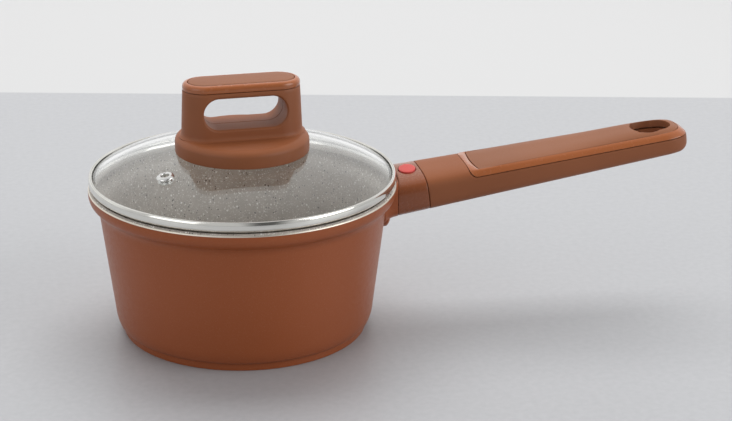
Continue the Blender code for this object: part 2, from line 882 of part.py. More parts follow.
press = bpy.data.objects.new("button_frame", None)
parts.objects.link(press)
press.parent = handle
press.location = (BUTTON_CENTRE, 0.0, half_height(BUTTON_CENTRE))
crown = BUTTON_PROUD
cap_foot = 7.0 * MM - half_height(BUTTON_CENTRE)
flange_top = 7.6 * MM - half_height(BUTTON_CENTRE)
flange_foot = 6.2 * MM - half_height(BUTTON_CENTRE)


def oval_at(level, shrink):
    return [(x, y, level) for x, y in oval(BUTTON_LENGTH - 2 * shrink, BUTTON_WIDTH - 2 * shrink)]


button = loft(
    "release_button",
    [
        oval_at(cap_foot, 0.0),
        oval_at(crown - 0.5 * MM, 0.0),
        oval_at(crown - 0.15 * MM, 0.3 * MM),
        oval_at(crown, 1.1 * MM),
        oval_at(crown + 0.1 * MM, 2.6 * MM),
    ],
    RED,
    press,
)
boolean(
    button,
    box(
        "button_flange",
        (-BUTTON_LENGTH / 2 + 0.1 * MM, -flange_reach, flange_foot),
        (BUTTON_LENGTH / 2 - 0.1 * MM, flange_reach, flange_top),
        None,
        press,
    ),
    "UNION",
)
for side in (-1, 1):
    low, high = sorted((side * LEG_INNER, side * LEG_OUTER))
    boolean(
        button,
        box(
            f"button_leg_{side + 2}",
            (-1.8 * MM, low, LEAF_TOP + GAP - half_height(BUTTON_CENTRE)),
            (1.8 * MM, high, flange_foot + 0.5 * MM),
            None,
            press,
        ),
        "UNION",
    )

# ---------------------------------------------------------------- lid
lid = bpy.data.objects.new("lid_frame", None)
parts.objects.link(lid)


def glass_top(r):
    return GLASS_CROWN - GLASS_FALL * (r / GLASS_SPAN) ** 2


def glass_slope(r):
    return atan(2 * GLASS_FALL * r / GLASS_SPAN**2)


radii = [(GLASS_RADIUS - 4.4 * MM) * i / 7 for i in range(8)]
upper = [(r, glass_top(r)) for r in radii]
under = [
    (
        r - GLASS_THICKNESS * sin(glass_slope(r)) * (r > 0),
        glass_top(r) - GLASS_THICKNESS * cos(glass_slope(r)),
    )
    for r in radii
]
edge = [
    (GLASS_RADIUS - 1.1 * MM, glass_top(GLASS_RADIUS - 1.1 * MM)),
    (GLASS_RADIUS - 0.2 * MM, glass_top(GLASS_RADIUS) - 0.5 * MM),
    (GLASS_RADIUS, glass_top(GLASS_RADIUS) - 1.4 * MM),
    (GLASS_RADIUS - 0.6 * MM, glass_top(GLASS_RADIUS) - 2.6 * MM),
    (GLASS_RADIUS - 1.8 * MM, glass_top(GLASS_RADIUS) - 3.3 * MM),
]
glass = turned("lid_glass", upper + edge + under[::-1], CLEAR, lid)

steel = [
    (-2.2, -0.75), (-1.4, 0.0), (-0.5, -0.3), (0.0, -2.0), (-0.2, -4.2), (-1.1, -5.5),
    (-3.0, -6.4), (-3.5, -7.6), (-3.5, -11.0), (-4.1, -11.0), (-4.1, -7.2), (-3.4, -5.85),
    (-1.4, -4.95), (-0.75, -4.0), (-0.6, -2.0), (-0.9, -0.9), (-1.35, -0.65), (-1.8, -0.95),
]
band = turned(
    "lid_band",
    [(BAND_RADIUS + r * MM, BAND_TOP + z * MM) for r, z in steel],
    STEEL,
    lid,
    ring=True,
)

vent_spot = (VENT_REACH * cos(VENT_ANGLE), VENT_REACH * sin(VENT_ANGLE), glass_top(VENT_REACH))
vent = bpy.data.objects.new("vent_frame", None)
parts.objects.link(vent)
vent.parent = lid
vent.location = vent_spot
vent.rotation_euler = (0.0, glass_slope(VENT_REACH), VENT_ANGLE)
vent_r = VENT_DIAMETER / 2
eyelet = turned(
    "vent_eyelet",
    [
        (vent_r - 2.35 * MM, 1.45 * MM),
        (vent_r - 1.6 * MM, 1.5 * MM),
        (vent_r - 0.4 * MM, 1.0 * MM),
        (vent_r, 0.45 * MM),
        (vent_r - 0.3 * MM, 0.3 * MM),
        (vent_r - 1.9 * MM, 0.3 * MM),
        (vent_r - 1.9 * MM, -GLASS_THICKNESS - 0.3 * MM),
        (vent_r - 0.5 * MM, -GLASS_THICKNESS - 0.3 * MM),
        (vent_r - 0.7 * MM, -GLASS_THICKNESS - 0.8 * MM),
        (vent_r - 1.7 * MM, -GLASS_THICKNESS - 1.1 * MM),
        (vent_r - 2.5 * MM, -GLASS_THICKNESS - 0.9 * MM),
        (vent_r - 2.6 * MM, 0.9 * MM),
    ],
    STEEL,
    vent,
    steps=SMALL_ROUND,
    ring=True,
)
vent_bore = rod(
    "vent_bore", (0, 0, -9 * MM), (0, 0, 6 * MM), vent_r - 1.9 * MM + GAP, None, vent
)
boolean(glass, vent_bore)
boolean(
    glass,
    rod(
        "screw_bore",
        (0, 0, GLASS_CROWN - 22 * MM),
        (0, 0, GLASS_CROWN + 18 * MM),
        KNOB_SCREW / 2 + 1.2 * MM,
        None,
        lid,
    ),
)

# ---------------------------------------------------------------- knob
knob = bpy.data.objects.new("knob_frame", None)
parts.objects.link(knob)
knob.parent = lid
knob.rotation_euler = (0.0, 0.0, KNOB_TURN)
boss_foot = GLASS_CROWN + 0.4 * MM
skirt = SKIRT_RADIUS
body = turned(
    "knob_body",
    [
        (0.0, SKIRT_TOP + 0.3 * MM),
        (skirt - 3.2 * MM, SKIRT_TOP),
        (skirt - 1.5 * MM, SKIRT_TOP - 0.7 * MM),
        (skirt - 0.4 * MM, SKIRT_TOP - 2.2 * MM),
        (skirt, SKIRT_TOP - 4.4 * MM),
        (skirt, SKIRT_FOOT + 0.5 * MM),
        (skirt - 0.5 * MM, SKIRT_FOOT),
        (skirt - 2.2 * MM, SKIRT_FOOT),
        (skirt - SKIRT_LIP, SKIRT_FOOT + 0.5 * MM),
        (skirt - SKIRT_LIP, SKIRT_TOP - 4.6 * MM),
        (skirt - 4.2 * MM, SKIRT_TOP - 3.2 * MM),
        (9.5 * MM, SKIRT_TOP - 3.0 * MM),
        (9.0 * MM, SKIRT_TOP - 3.5 * MM),
        (9.0 * MM, boss_foot),
        (0.0, boss_foot),
    ],
    MATT,
    knob,
)


def stadium_at(level, length, width):
    return [(x, y, level) for x, y in stadium(length, width)]


loop = loft(
    "knob_loop",
    [
        stadium_at(SKIRT_TOP - 2.0 * MM, LOOP_LENGTH_FOOT + 0.6 * MM, LOOP_WIDTH_FOOT + 2.6 * MM),
        stadium_at(SKIRT_TOP + 0.2 * MM, LOOP_LENGTH_FOOT + 0.4 * MM, LOOP_WIDTH_FOOT + 1.6 * MM),
        stadium_at(SKIRT_TOP + 2.2 * MM, LOOP_LENGTH_FOOT, LOOP_WIDTH_FOOT),
        stadium_at(LOOP_TOP, LOOP_LENGTH_TOP, LOOP_WIDTH_TOP),
    ],
    None,
    knob,
)
finger_slot = slab(
    "finger_slot",
    stadium(SLOT_LENGTH, SLOT_HEIGHT, (0.0, SLOT_CENTRE)),
    -40 * MM,
    40 * MM,
    None,
    knob,
    "xzy",
)
boolean(body, loop, "UNION")
boolean(body, finger_slot)
insert_top = SLOT_CENTRE - SLOT_HEIGHT / 2 - 3.2 * MM
boolean(
    body,
    rod(
        "insert_bore",
        (0, 0, GLASS_CROWN - 12 * MM),
        (0, 0, insert_top + GAP),
        INSERT_RADIUS + GAP,
        None,
        knob,
    ),
)

cap_foot_z = LOOP_TOP + GAP
cap = loft(
    "knob_cap",
    [
        stadium_at(cap_foot_z, LOOP_LENGTH_TOP, LOOP_WIDTH_TOP),
        stadium_at(cap_foot_z + 1.2 * MM, LOOP_LENGTH_TOP - 0.3 * MM, LOOP_WIDTH_TOP - 0.3 * MM),
        stadium_at(cap_foot_z + 2.7 * MM, LOOP_LENGTH_TOP - 1.9 * MM, LOOP_WIDTH_TOP - 1.9 * MM),
        stadium_at(cap_foot_z + CAP_HEIGHT, LOOP_LENGTH_TOP - 4.6 * MM, LOOP_WIDTH_TOP - 4.6 * MM),
    ],
    GLOSS,
    knob,
)
plate_foot = cap_foot_z + CAP_HEIGHT - 1.3 * MM
boolean(
    cap,
    slab(
        "plate_pocket",
        stadium(PLATE_LENGTH + 2 * GAP, PLATE_WIDTH + 2 * GAP),
        plate_foot - GAP,
        cap_foot_z + CAP_HEIGHT + 20 * MM,
        None,
        knob,
    ),
)
plate = loft(
    "knob_inlay",
    [
        stadium_at(plate_foot, PLATE_LENGTH, PLATE_WIDTH),
        stadium_at(cap_foot_z + CAP_HEIGHT, PLATE_LENGTH, PLATE_WIDTH),
        stadium_at(cap_foot_z + CAP_HEIGHT + 0.35 * MM, PLATE_LENGTH - 2 * MM, PLATE_WIDTH - 2 * MM),
    ],
    MATT,
    knob,
)
peg_x = LOOP_LENGTH_TOP / 2 - CAP_PEG_MARGIN
for number, x in enumerate((-peg_x, peg_x), 1):
    boolean(
        cap,
        rod(
            f"cap_peg_{number}",
            (x, 0, LOOP_TOP - 6 * MM),
            (x, 0, cap_foot_z + 1 * MM),
            2.0 * MM,
            None,
            knob,
        ),
        "UNION",
    )
    boolean(
        body,
        rod(
            f"cap_bore_{number}",
            (x, 0, LOOP_TOP - 6 * MM - 2 * GAP),
            (x, 0, LOOP_TOP + 5 * MM),
            2.0 * MM + GAP,
            None,
            knob,
        ),
    )

insert = turned(
    "knob_insert",
    [
        (KNOB_SCREW / 2 + GAP, insert_top),
        (INSERT_RADIUS - 0.4 * MM, insert_top),
        (INSERT_RADIUS, insert_top - 0.4 * MM),
        (INSERT_RADIUS, boss_foot + 0.5 * MM),
        (INSERT_RADIUS - 0.4 * MM, boss_foot + 0.1 * MM),
        (KNOB_SCREW / 2 + GAP, boss_foot + 0.1 * MM),
    ],
    BRASS,
    knob,
    steps=SMALL_ROUND,
    ring=True,
)
glass_under = GLASS_CROWN - GLASS_THICKNESS
gasket = turned(
    "knob_gasket",
    [
        (KNOB_SCREW / 2 + 0.8 * MM, glass_under - 0.5 * MM),
        (9.0 * MM, glass_under - 0.5 * MM),
        (9.0 * MM, glass_under - 2.0 * MM),
        (KNOB_SCREW / 2 + 0.8 * MM, glass_under - 2.0 * MM),
    ],
    RUBBER,
    knob,
    steps=32,
    ring=True,
)
washer = turned(
    "knob_washer",
    [
        (KNOB_SCREW / 2 + 0.5 * MM, glass_under - 2.3 * MM),
        (8.0 * MM, glass_under - 2.3 * MM),
        (8.0 * MM, glass_under - 3.2 * MM),
        (KNOB_SCREW / 2 + 0.5 * MM, glass_under - 3.2 * MM),
    ],
    STEEL,
    knob,
    steps=32,
    ring=True,
)
screw(
    "knob_screw",
    (0, 0, glass_under - 3.5 * MM),
    (0, 0, insert_top - 1.0 * MM),
    KNOB_SCREW,
    8.0 * MM,
    2.4 * MM,
    STEEL,
    knob,
)
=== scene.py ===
"""A small copper-coloured saucepan with a glass lid and a detachable handle.

The pan stands on Z = 0 with its centre on the Z axis and the handle runs out along +X.
Lengths are in metres. Every visible piece is a surface worked out over a grid of numbers.
"""

import json

import bmesh
import bpy
import numpy as np
from mathutils import Matrix, Vector


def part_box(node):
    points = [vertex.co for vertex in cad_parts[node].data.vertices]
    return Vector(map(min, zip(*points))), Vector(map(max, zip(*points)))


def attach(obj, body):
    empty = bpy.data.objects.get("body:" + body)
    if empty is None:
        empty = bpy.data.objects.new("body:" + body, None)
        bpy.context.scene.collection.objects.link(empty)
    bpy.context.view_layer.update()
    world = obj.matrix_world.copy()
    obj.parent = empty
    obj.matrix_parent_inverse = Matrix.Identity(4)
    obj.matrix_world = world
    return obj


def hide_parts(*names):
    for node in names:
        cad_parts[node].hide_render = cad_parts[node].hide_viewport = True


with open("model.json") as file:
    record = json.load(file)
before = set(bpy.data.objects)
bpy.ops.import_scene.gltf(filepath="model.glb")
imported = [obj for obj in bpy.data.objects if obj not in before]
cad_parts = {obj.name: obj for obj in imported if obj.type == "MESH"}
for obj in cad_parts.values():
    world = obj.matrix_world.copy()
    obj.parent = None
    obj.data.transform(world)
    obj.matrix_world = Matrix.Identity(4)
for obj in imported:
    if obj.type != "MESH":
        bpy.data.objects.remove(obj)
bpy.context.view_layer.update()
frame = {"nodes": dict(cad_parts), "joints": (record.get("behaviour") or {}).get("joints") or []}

MM = 0.001
GAP = 0.3 * MM
TAU = 2 * np.pi

# ---------------------------------------------------------------- places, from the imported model
# Each is the far corner of a node's box: its largest x, y and z.
POT, DISC, BAND, PANE, SEAL, CAP = (
    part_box(node)[1]
    for node in ("pot_body", "base_disc", "lid_band", "lid_glass", "knob_gasket", "knob_cap")
)
RIM_RADIUS, RIM_HEIGHT = POT.y, POT.z
DISC_RADIUS, DISC_THICKNESS = DISC.y, DISC.z
BAND_RADIUS, BAND_TOP = BAND.y, BAND.z
GLASS_RADIUS = PANE.y
GLASS_THICKNESS = 4.0 * MM
GLASS_CROWN = SEAL.z + 0.5 * MM + GLASS_THICKNESS
LOOP_TOP = CAP.z - 4.1 * MM

release = next(j for j in frame["joints"] if j["name"] == "handle_release")
ALONG = np.array(release["axis"], float)
ALONG /= np.linalg.norm(ALONG)
SIDE = np.array([0.0, 1.0, 0.0])
UP = np.cross(ALONG, SIDE)
HANDLE_ROOT = np.array([RIM_RADIUS, 0.0, RIM_HEIGHT - 10.4 * MM])


# ---------------------------------------------------------------- making meshes
def skin(name, grid, around=True, ring=False, material=None, sharp=38.0, capped=True):
    """A mesh over a grid of points.

    Rows run along the shape and columns round it. The last column joins the first when the
    shape closes round, the last row joins the first for a ring, and an end that isn't on the
    axis is closed by a fan to its middle.
    """
    grid = np.asarray(grid, float)
    rows, columns = grid.shape[:2]
    index = np.arange(rows * columns).reshape(rows, columns)
    near = index if ring else index[:-1]
    far = np.roll(index, -1, 0) if ring else index[1:]
    if around:
        near_next, far_next = np.roll(near, -1, 1), np.roll(far, -1, 1)
    else:
        near_next, far_next = near[:, 1:], far[:, 1:]
        near, far = near[:, :-1], far[:, :-1]
    faces = np.stack([near, near_next, far_next, far], -1).reshape(-1, 4).tolist()
    points = grid.reshape(-1, 3)
    if around and not ring and capped:
        for row in (0, -1):
            middle = len(points)
            points = np.vstack([points, grid[row].mean(0)])
            edge = index[row]
            fan = np.stack([edge, np.roll(edge, -1), np.full(columns, middle)], -1)
            faces += fan.tolist()
    return solid(name, points, faces, material, sharp)


def solid(name, points, faces, material=None, sharp=38.0):
    """Weld the points that meet, turn the faces outwards and shade the result."""
    mesh = bpy.data.meshes.new(name)
    mesh.from_pydata(points.tolist(), [], faces)
    shape = bmesh.new()
    shape.from_mesh(mesh)
    bmesh.ops.remove_doubles(shape, verts=shape.verts, dist=2e-6)
    bmesh.ops.dissolve_degenerate(shape, edges=shape.edges, dist=1e-7)
    loose = [edge for edge in shape.edges if not edge.link_faces]
    bmesh.ops.delete(shape, geom=loose, context="EDGES")
    bmesh.ops.recalc_face_normals(shape, faces=shape.faces)
    shape.to_mesh(mesh)
    shape.free()
    piece = bpy.data.objects.new(name, mesh)
    bpy.context.scene.collection.objects.link(piece)
    smooth(piece, sharp)
    if material:
        mesh.materials.append(material)
    return piece


def smooth(piece, sharp):
    """Shade it smooth, except along edges that turn by more than the sharp angle."""
    mesh = piece.data
    mesh.polygons.foreach_set("use_smooth", np.ones(len(mesh.polygons), bool))
    mesh.set_sharp_from_angle(angle=np.radians(sharp))


def cut(piece, *cutters, sharp=38.0):
    """Take the cutters out of the piece, for openings that a single grid can't have."""
    for cutter in cutters:
        change = piece.modifiers.new(cutter.name, "BOOLEAN")
        change.operation = "DIFFERENCE"
        change.solver = "EXACT"
        change.object = cutter
        graph = bpy.context.evaluated_depsgraph_get()
        made = bpy.data.meshes.new_from_object(piece.evaluated_get(graph))
        materials = list(piece.data.materials)
        piece.modifiers.clear()
        piece.data = made
        piece.data.materials.clear()
        for item in materials[:1]:
            piece.data.materials.append(item)
        made.polygons.foreach_set("material_index", np.zeros(len(made.polygons), np.int32))
        bpy.data.objects.remove(cutter)
    smooth(piece, sharp)
    return piece


def eased(points, radius, steps=6, closed=False):
    """A line of points with its corners rounded.

    Each corner becomes a quadratic curve that leaves one side and joins the next, a radius
    away from the corner or at half of a shorter side.
    """
    points = np.asarray(points, float)
    before, after = np.roll(points, 1, 0) - points, np.roll(points, -1, 0) - points
    back = np.linalg.norm(before, axis=1, keepdims=True)
    on = np.linalg.norm(after, axis=1, keepdims=True)
    reach = np.broadcast_to(np.asarray(radius, float).reshape(-1, 1), back.shape)
    start = points + before / back * np.minimum(reach, back * 0.48)
    end = points + after / on * np.minimum(reach, on * 0.48)
    t = np.linspace(0, 1, steps)[None, :, None]
    bend = (1 - t) ** 2 * start[:, None] + 2 * t * (1 - t) * points[:, None] + t**2 * end[:, None]
    if closed:
        return bend.reshape(-1, points.shape[1])
    middle = bend[1:-1].reshape(-1, points.shape[1])
    return np.vstack([points[:1], middle, points[-1:]])


def turned(name, profile, material=None, steps=240, ring=False, sharp=38.0):
    """A profile of (radius, height) turned about Z: x = r cos a, y = r sin a, z = height."""
    profile = np.asarray(profile, float)
    angle = np.arange(steps) * TAU / steps
    r, z = profile[:, :1], profile[:, 1:]
    grid = np.stack(
        [r * np.cos(angle), r * np.sin(angle), np.broadcast_to(z, (len(profile), steps))], -1
    )
    return skin(name, grid, ring=ring, material=material, sharp=sharp)


def mm(*pairs):
    """Rows of numbers in millimetres, as metres."""
    return np.array(pairs, float) * MM


def quarter(steps, part=1.0):
    """Angles from nothing to a quarter turn, or to a part of one."""
    return np.linspace(0, np.pi / 2 * part, steps)


def rounded(t, power):
    """A superellipse's height at t from its middle: 1 less t to a power, to 1 over that power."""
    return np.clip(1 - np.abs(t) ** power, 0, 1) ** (1 / power)


# ---------------------------------------------------------------- materials
def new_material(name):
    """A material, its nodes, its shader and the Object coordinates that patterns read."""
    made = bpy.data.materials.new(name)
    made.use_nodes = True
    tree = made.node_tree
    place = tree.nodes.new("ShaderNodeTexCoord")
    return made, tree, tree.nodes["Principled BSDF"], place.outputs["Object"]


def noise(tree, where, scale, detail=2.0, roughness=0.5):
    node = tree.nodes.new("ShaderNodeTexNoise")
    node.inputs["Scale"].default_value = scale
    node.inputs["Detail"].default_value = detail
    node.inputs["Roughness"].default_value = roughness
    tree.links.new(where, node.inputs["Vector"])
    return node.outputs["Fac"]


def ranged(tree, value, low=0.3, high=0.7, out_low=0.0, out_high=1.0):
    """A value spread from one range to another and held at its ends."""
    node = tree.nodes.new("ShaderNodeMapRange")
    for socket, number in zip(list(node.inputs)[1:5], (low, high, out_low, out_high)):
        socket.default_value = number
    tree.links.new(value, node.inputs["Value"])
    return node.outputs["Result"]


def mixed(tree, share, first, second):
    """One colour into another. Each is three numbers or a socket."""
    node = tree.nodes.new("ShaderNodeMix")
    node.data_type = "RGBA"
    tree.links.new(share, node.inputs["Factor"])
    for socket, colour in ((node.inputs[6], first), (node.inputs[7], second)):
        if isinstance(colour, tuple):
            socket.default_value = (*colour, 1.0)
        else:
            tree.links.new(colour, socket)
    return node.outputs[2]


def arithmetic(tree, operation, first, second=0.0):
    """A sum on one or two values. Each is a number or a socket."""
    node = tree.nodes.new("ShaderNodeMath")
    node.operation = operation
    for socket, value in zip(node.inputs, (first, second)):
        if isinstance(value, float):
            socket.default_value = value
        else:
            tree.links.new(value, socket)
    return node.outputs[0]


def bumped(tree, shader, height, depth, distance):
    """Relief too fine for geometry."""
    node = tree.nodes.new("ShaderNodeBump")
    node.inputs["Strength"].default_value = depth
    node.inputs["Distance"].default_value = distance
    tree.links.new(height, node.inputs["Height"])
    tree.links.new(node.outputs["Normal"], shader.inputs["Normal"])


def varied(tree, shader, name, value, low, high):
    """A pattern as a shader's number, between a low and a high."""
    tree.links.new(ranged(tree, value, out_low=low, out_high=high), shader.inputs[name])


def moulded(name, dark, light, rough, grain, depth, shine=0.35, coat=0.0, coat_rough=0.1):
    """Moulded plastic: broad clouds of colour, a fine grain in the surface and in its gloss."""
    made, tree, shader, where = new_material(name)
    clouds = noise(tree, where, 18.0, 3.0)
    fine = noise(tree, where, grain, 2.0)
    tree.links.new(mixed(tree, ranged(tree, clouds), dark, light), shader.inputs["Base Color"])
    varied(tree, shader, "Roughness", fine, rough - 0.05, rough + 0.05)
    shader.inputs["Specular IOR Level"].default_value = shine
    shader.inputs["Coat Weight"].default_value = coat
    shader.inputs["Coat Roughness"].default_value = coat_rough
    bumped(tree, shader, fine, depth, 0.00004)
    return made


def lacquered(name):
    """Satin copper-brown lacquer: faint clouds, tiny pearl flecks and a slight orange peel."""
    made, tree, shader, where = new_material(name)
    clouds = ranged(tree, noise(tree, where, 9.0, 3.0))
    body = mixed(tree, clouds, (0.300, 0.074, 0.019), (0.330, 0.084, 0.025))
    fleck = ranged(tree, noise(tree, where, 2600.0, 1.0), 0.60, 0.78, 0.0, 0.5)
    tree.links.new(mixed(tree, fleck, body, (0.44, 0.19, 0.10)), shader.inputs["Base Color"])
    peel = noise(tree, where, 420.0, 2.0)
    varied(tree, shader, "Roughness", peel, 0.36, 0.44)
    shader.inputs["Metallic"].default_value = 0.12
    shader.inputs["Specular IOR Level"].default_value = 0.35
    shader.inputs["Coat Weight"].default_value = 0.08
    shader.inputs["Coat Roughness"].default_value = 0.22
    bumped(tree, shader, peel, 0.12, 0.00006)
    return made


def speckled(name):
    """Stone-effect coating: warm grey with round specks, each kind at its own size and share.

    A speck is where the distance to a scattered cell's centre is below a radius, and a cell
    holds a speck only when the cell's own random number is high enough.
    """
    made, tree, shader, where = new_material(name)
    clouds = ranged(tree, noise(tree, where, 160.0, 4.0))
    colour = mixed(tree, clouds, (0.40, 0.352, 0.31), (0.49, 0.437, 0.39))
    for scale, radius, share_of, paint in (
        (1000.0, 0.30, 0.45, (0.60, 0.56, 0.52)),
        (860.0, 0.25, 0.62, (0.80, 0.78, 0.74)),
        (760.0, 0.23, 0.84, (0.035, 0.028, 0.025)),
        (520.0, 0.22, 0.88, (0.88, 0.86, 0.83)),
        (500.0, 0.19, 0.93, (0.025, 0.02, 0.02)),
    ):
        cells = tree.nodes.new("ShaderNodeTexVoronoi")
        cells.inputs["Scale"].default_value = scale
        tree.links.new(where, cells.inputs["Vector"])
        spot = ranged(tree, cells.outputs["Distance"], radius, radius + 0.08, 1.0, 0.0)
        parts = tree.nodes.new("ShaderNodeSeparateColor")
        tree.links.new(cells.outputs["Color"], parts.inputs["Color"])
        chosen = ranged(tree, parts.outputs["Red"], share_of, share_of + 0.01, 0.0, 1.0)
        colour = mixed(tree, arithmetic(tree, "MULTIPLY", spot, chosen), colour, paint)
    tree.links.new(colour, shader.inputs["Base Color"])
    fine = noise(tree, where, 1300.0, 2.0)
    varied(tree, shader, "Roughness", fine, 0.42, 0.56)
    shader.inputs["Specular IOR Level"].default_value = 0.4
    bumped(tree, shader, fine, 0.2, 0.00006)
    return made


def polished(name, dark, light, rough, lines=900.0, stretch=(1.0, 1.0, 14.0), depth=0.05):
    """Polished or brushed metal: fine lines run round, drawn by a noise stretched across them."""
    made, tree, shader, where = new_material(name)
    mapping = tree.nodes.new("ShaderNodeMapping")
    mapping.inputs["Scale"].default_value = stretch
    tree.links.new(where, mapping.inputs["Vector"])
    brush = noise(tree, mapping.outputs["Vector"], lines, 2.0)
    patches = ranged(tree, noise(tree, where, 40.0, 3.0))
    tree.links.new(mixed(tree, patches, dark, light), shader.inputs["Base Color"])
    varied(tree, shader, "Roughness", brush, rough * 0.75, rough * 1.25)
    shader.inputs["Metallic"].default_value = 1.0
    bumped(tree, shader, brush, depth, 0.00003)
    return made


def clear_glass(name):
    """Toughened glass: clear and faintly green, its tint a little uneven. Lamps shine through."""
    made, tree, shader, where = new_material(name)
    shader.inputs["Transmission Weight"].default_value = 1.0
    shader.inputs["IOR"].default_value = 1.5
    shader.inputs["Roughness"].default_value = 0.0
    wave = noise(tree, where, 22.0, 1.0)
    tree.links.new(
        mixed(tree, wave, (0.975, 0.985, 0.98), (0.985, 0.992, 0.988)),
        shader.inputs["Base Color"],
    )
    path = tree.nodes.new("ShaderNodeLightPath")
    through = tree.nodes.new("ShaderNodeBsdfTransparent")
    through.inputs["Color"].default_value = (0.93, 0.95, 0.94, 1.0)
    blend = tree.nodes.new("ShaderNodeMixShader")
    tree.links.new(path.outputs["Is Shadow Ray"], blend.inputs[0])
    tree.links.new(shader.outputs["BSDF"], blend.inputs[1])
    tree.links.new(through.outputs["BSDF"], blend.inputs[2])
    out = tree.nodes["Material Output"]
    tree.links.new(blend.outputs["Shader"], out.inputs["Surface"])
    return made


LACQUER = lacquered("satin copper lacquer")
COATING = speckled("stone-effect coating")
BARE = polished("turned bare rim", (0.80, 0.73, 0.62), (0.88, 0.82, 0.72), 0.34)
BAND_STEEL = polished("polished steel band", (0.76, 0.75, 0.70), (0.86, 0.85, 0.80), 0.12)
VENT_STEEL = polished("satin vent steel", (0.78, 0.78, 0.76), (0.88, 0.88, 0.86), 0.24)
BASE_STEEL = polished("brushed base steel", (0.50, 0.50, 0.49), (0.60, 0.60, 0.58), 0.34)
FITTING_STEEL = polished(
    "plated fitting steel", (0.55, 0.56, 0.57), (0.66, 0.67, 0.68), 0.26, 500.0, (1.0, 6.0, 1.0)
)
BRASS = polished("turned brass", (0.62, 0.42, 0.15), (0.75, 0.54, 0.22), 0.28)
GLASS = clear_glass("toughened glass")
MATT_BROWN = moulded(
    "soft-touch brown", (0.240, 0.076, 0.027), (0.270, 0.088, 0.033), 0.50, 1900.0, 0.35
)
PLATE_BROWN = moulded(
    "soft-touch plate brown", (0.222, 0.080, 0.034), (0.250, 0.092, 0.040), 0.46, 1900.0, 0.35
)
GLOSS_BROWN = moulded(
    "glossy collar brown", (0.225, 0.066, 0.024), (0.250, 0.075, 0.028), 0.26, 500.0, 0.05,
    coat=0.3, coat_rough=0.16,
)
TRIM_BROWN = moulded(
    "glossy trim brown", (0.330, 0.100, 0.033), (0.360, 0.112, 0.038), 0.24, 500.0, 0.05,
    coat=0.4, coat_rough=0.12,
)
RED = moulded("button red", (0.52, 0.055, 0.045), (0.58, 0.066, 0.052), 0.38, 900.0, 0.12)
RUBBER = moulded("silicone seal", (0.60, 0.60, 0.57), (0.68, 0.68, 0.65), 0.55, 1200.0, 0.2)


# ---------------------------------------------------------------- pan
WALL_TOP, WALL_TOP_DOWN = 5.8 * MM, 15.7 * MM
WALL_FOOT, WALL_FOOT_UP = 12.1 * MM, 14.5 * MM


def from_rim(*pairs):
    """Points given as millimetres in from the rim's edge and down from its top."""
    return np.array([RIM_RADIUS, RIM_HEIGHT]) - mm(*pairs)


def above_base(*pairs):
    """Points given as millimetres in from the rim's edge and up from the base."""
    return np.array([RIM_RADIUS, 0.0]) + mm(*pairs) * (-1, 1)


def outer_wall():
    """The pan's outer profile from the foot of the bare rim line down to the base recess."""
    recess = DISC_RADIUS + GAP, DISC_THICKNESS + GAP
    corners = np.vstack(
        [
            from_rim(
                (0.4, 1.0), (0.05, 1.35), (0.0, 1.9), (0.0, 4.4), (0.9, 7.0), (3.3, 9.1),
                (3.9, 9.5), (5.35, 12.0), (5.8, 15.7),
            ),
            above_base((12.1, 14.5), (12.7, 9.0), (14.0, 5.2), (15.3, 4.2), (16.3, 4.1), (16.3, 0)),
            [(recess[0], 0.0), recess, (0.0, recess[1])],
        ]
    )
    ease = np.array(
        [0, 0.3, 0.5, 2.5, 1.6, 0.25, 0.35, 2.5, 4, 4, 3, 1.2, 0.4, 0.25, 0.5, 0.2, 0.2, 0]
    )
    return eased(corners, ease * MM)


def inner_wall(back):
    """The pan's inside profile from the rim to the middle of the floor, moved back by a skin."""
    corners = np.vstack(
        [
            from_rim(
                (0.55, 0.62), (1.25, 0.14), (2.1, 0.0), (2.7, 0.5), (3.0, 1.6), (3.5, 4.6),
                (5.0, 7.7), (7.7, 11.2), (8.7, 15.7),
            ),
            above_base((15.0, 15.0), (16.4, 10.5), (19.8, 7.6), (25.0, 6.7)),
            mm((0.0, 6.5)),
        ]
    )
    ease = np.array([0, 0.4, 0.5, 0.5, 1, 2, 2, 3, 4, 4, 4, 4, 6, 0])
    profile = eased(corners, ease * MM)
    step = np.gradient(profile, axis=0)
    step /= np.linalg.norm(step, axis=1, keepdims=True)
    away = np.stack([-step[:, 1], step[:, 0]], -1) * back
    away[-1, 0] = 0.0
    return profile + away


pan_shell = turned(
    "pan_shell", np.vstack([outer_wall()[::-1], inner_wall(0.25 * MM)]), LACQUER, sharp=50.0
)
pan_lining = turned(
    "pan_lining", np.vstack([inner_wall(0.0), inner_wall(0.6 * MM)[::-1]]), COATING, ring=True
)
bare_steps = from_rim(
    (0.62, 0.62), (0.42, 0.66), (0.03, 1.05), (0.02, 1.45), (1.1, 1.4), (1.5, 0.8)
)
bare_line = turned("bare_rim_line", eased(bare_steps, 0.2 * MM, closed=True), BARE, ring=True)
disc_profile = eased(
    [
        (0.0, DISC_THICKNESS),
        (DISC_RADIUS, DISC_THICKNESS),
        (DISC_RADIUS, 0.0),
        (DISC_RADIUS - 15.9 * MM, 0.0),
        (DISC_RADIUS - 16.4 * MM, 0.4 * MM),
        (DISC_RADIUS - 17.6 * MM, 0.4 * MM),
        (DISC_RADIUS - 18.1 * MM, 0.0),
        (0.0, 0.0),
    ],
    0.25 * MM,
)
base_plate = turned("base_plate", disc_profile, BASE_STEEL)


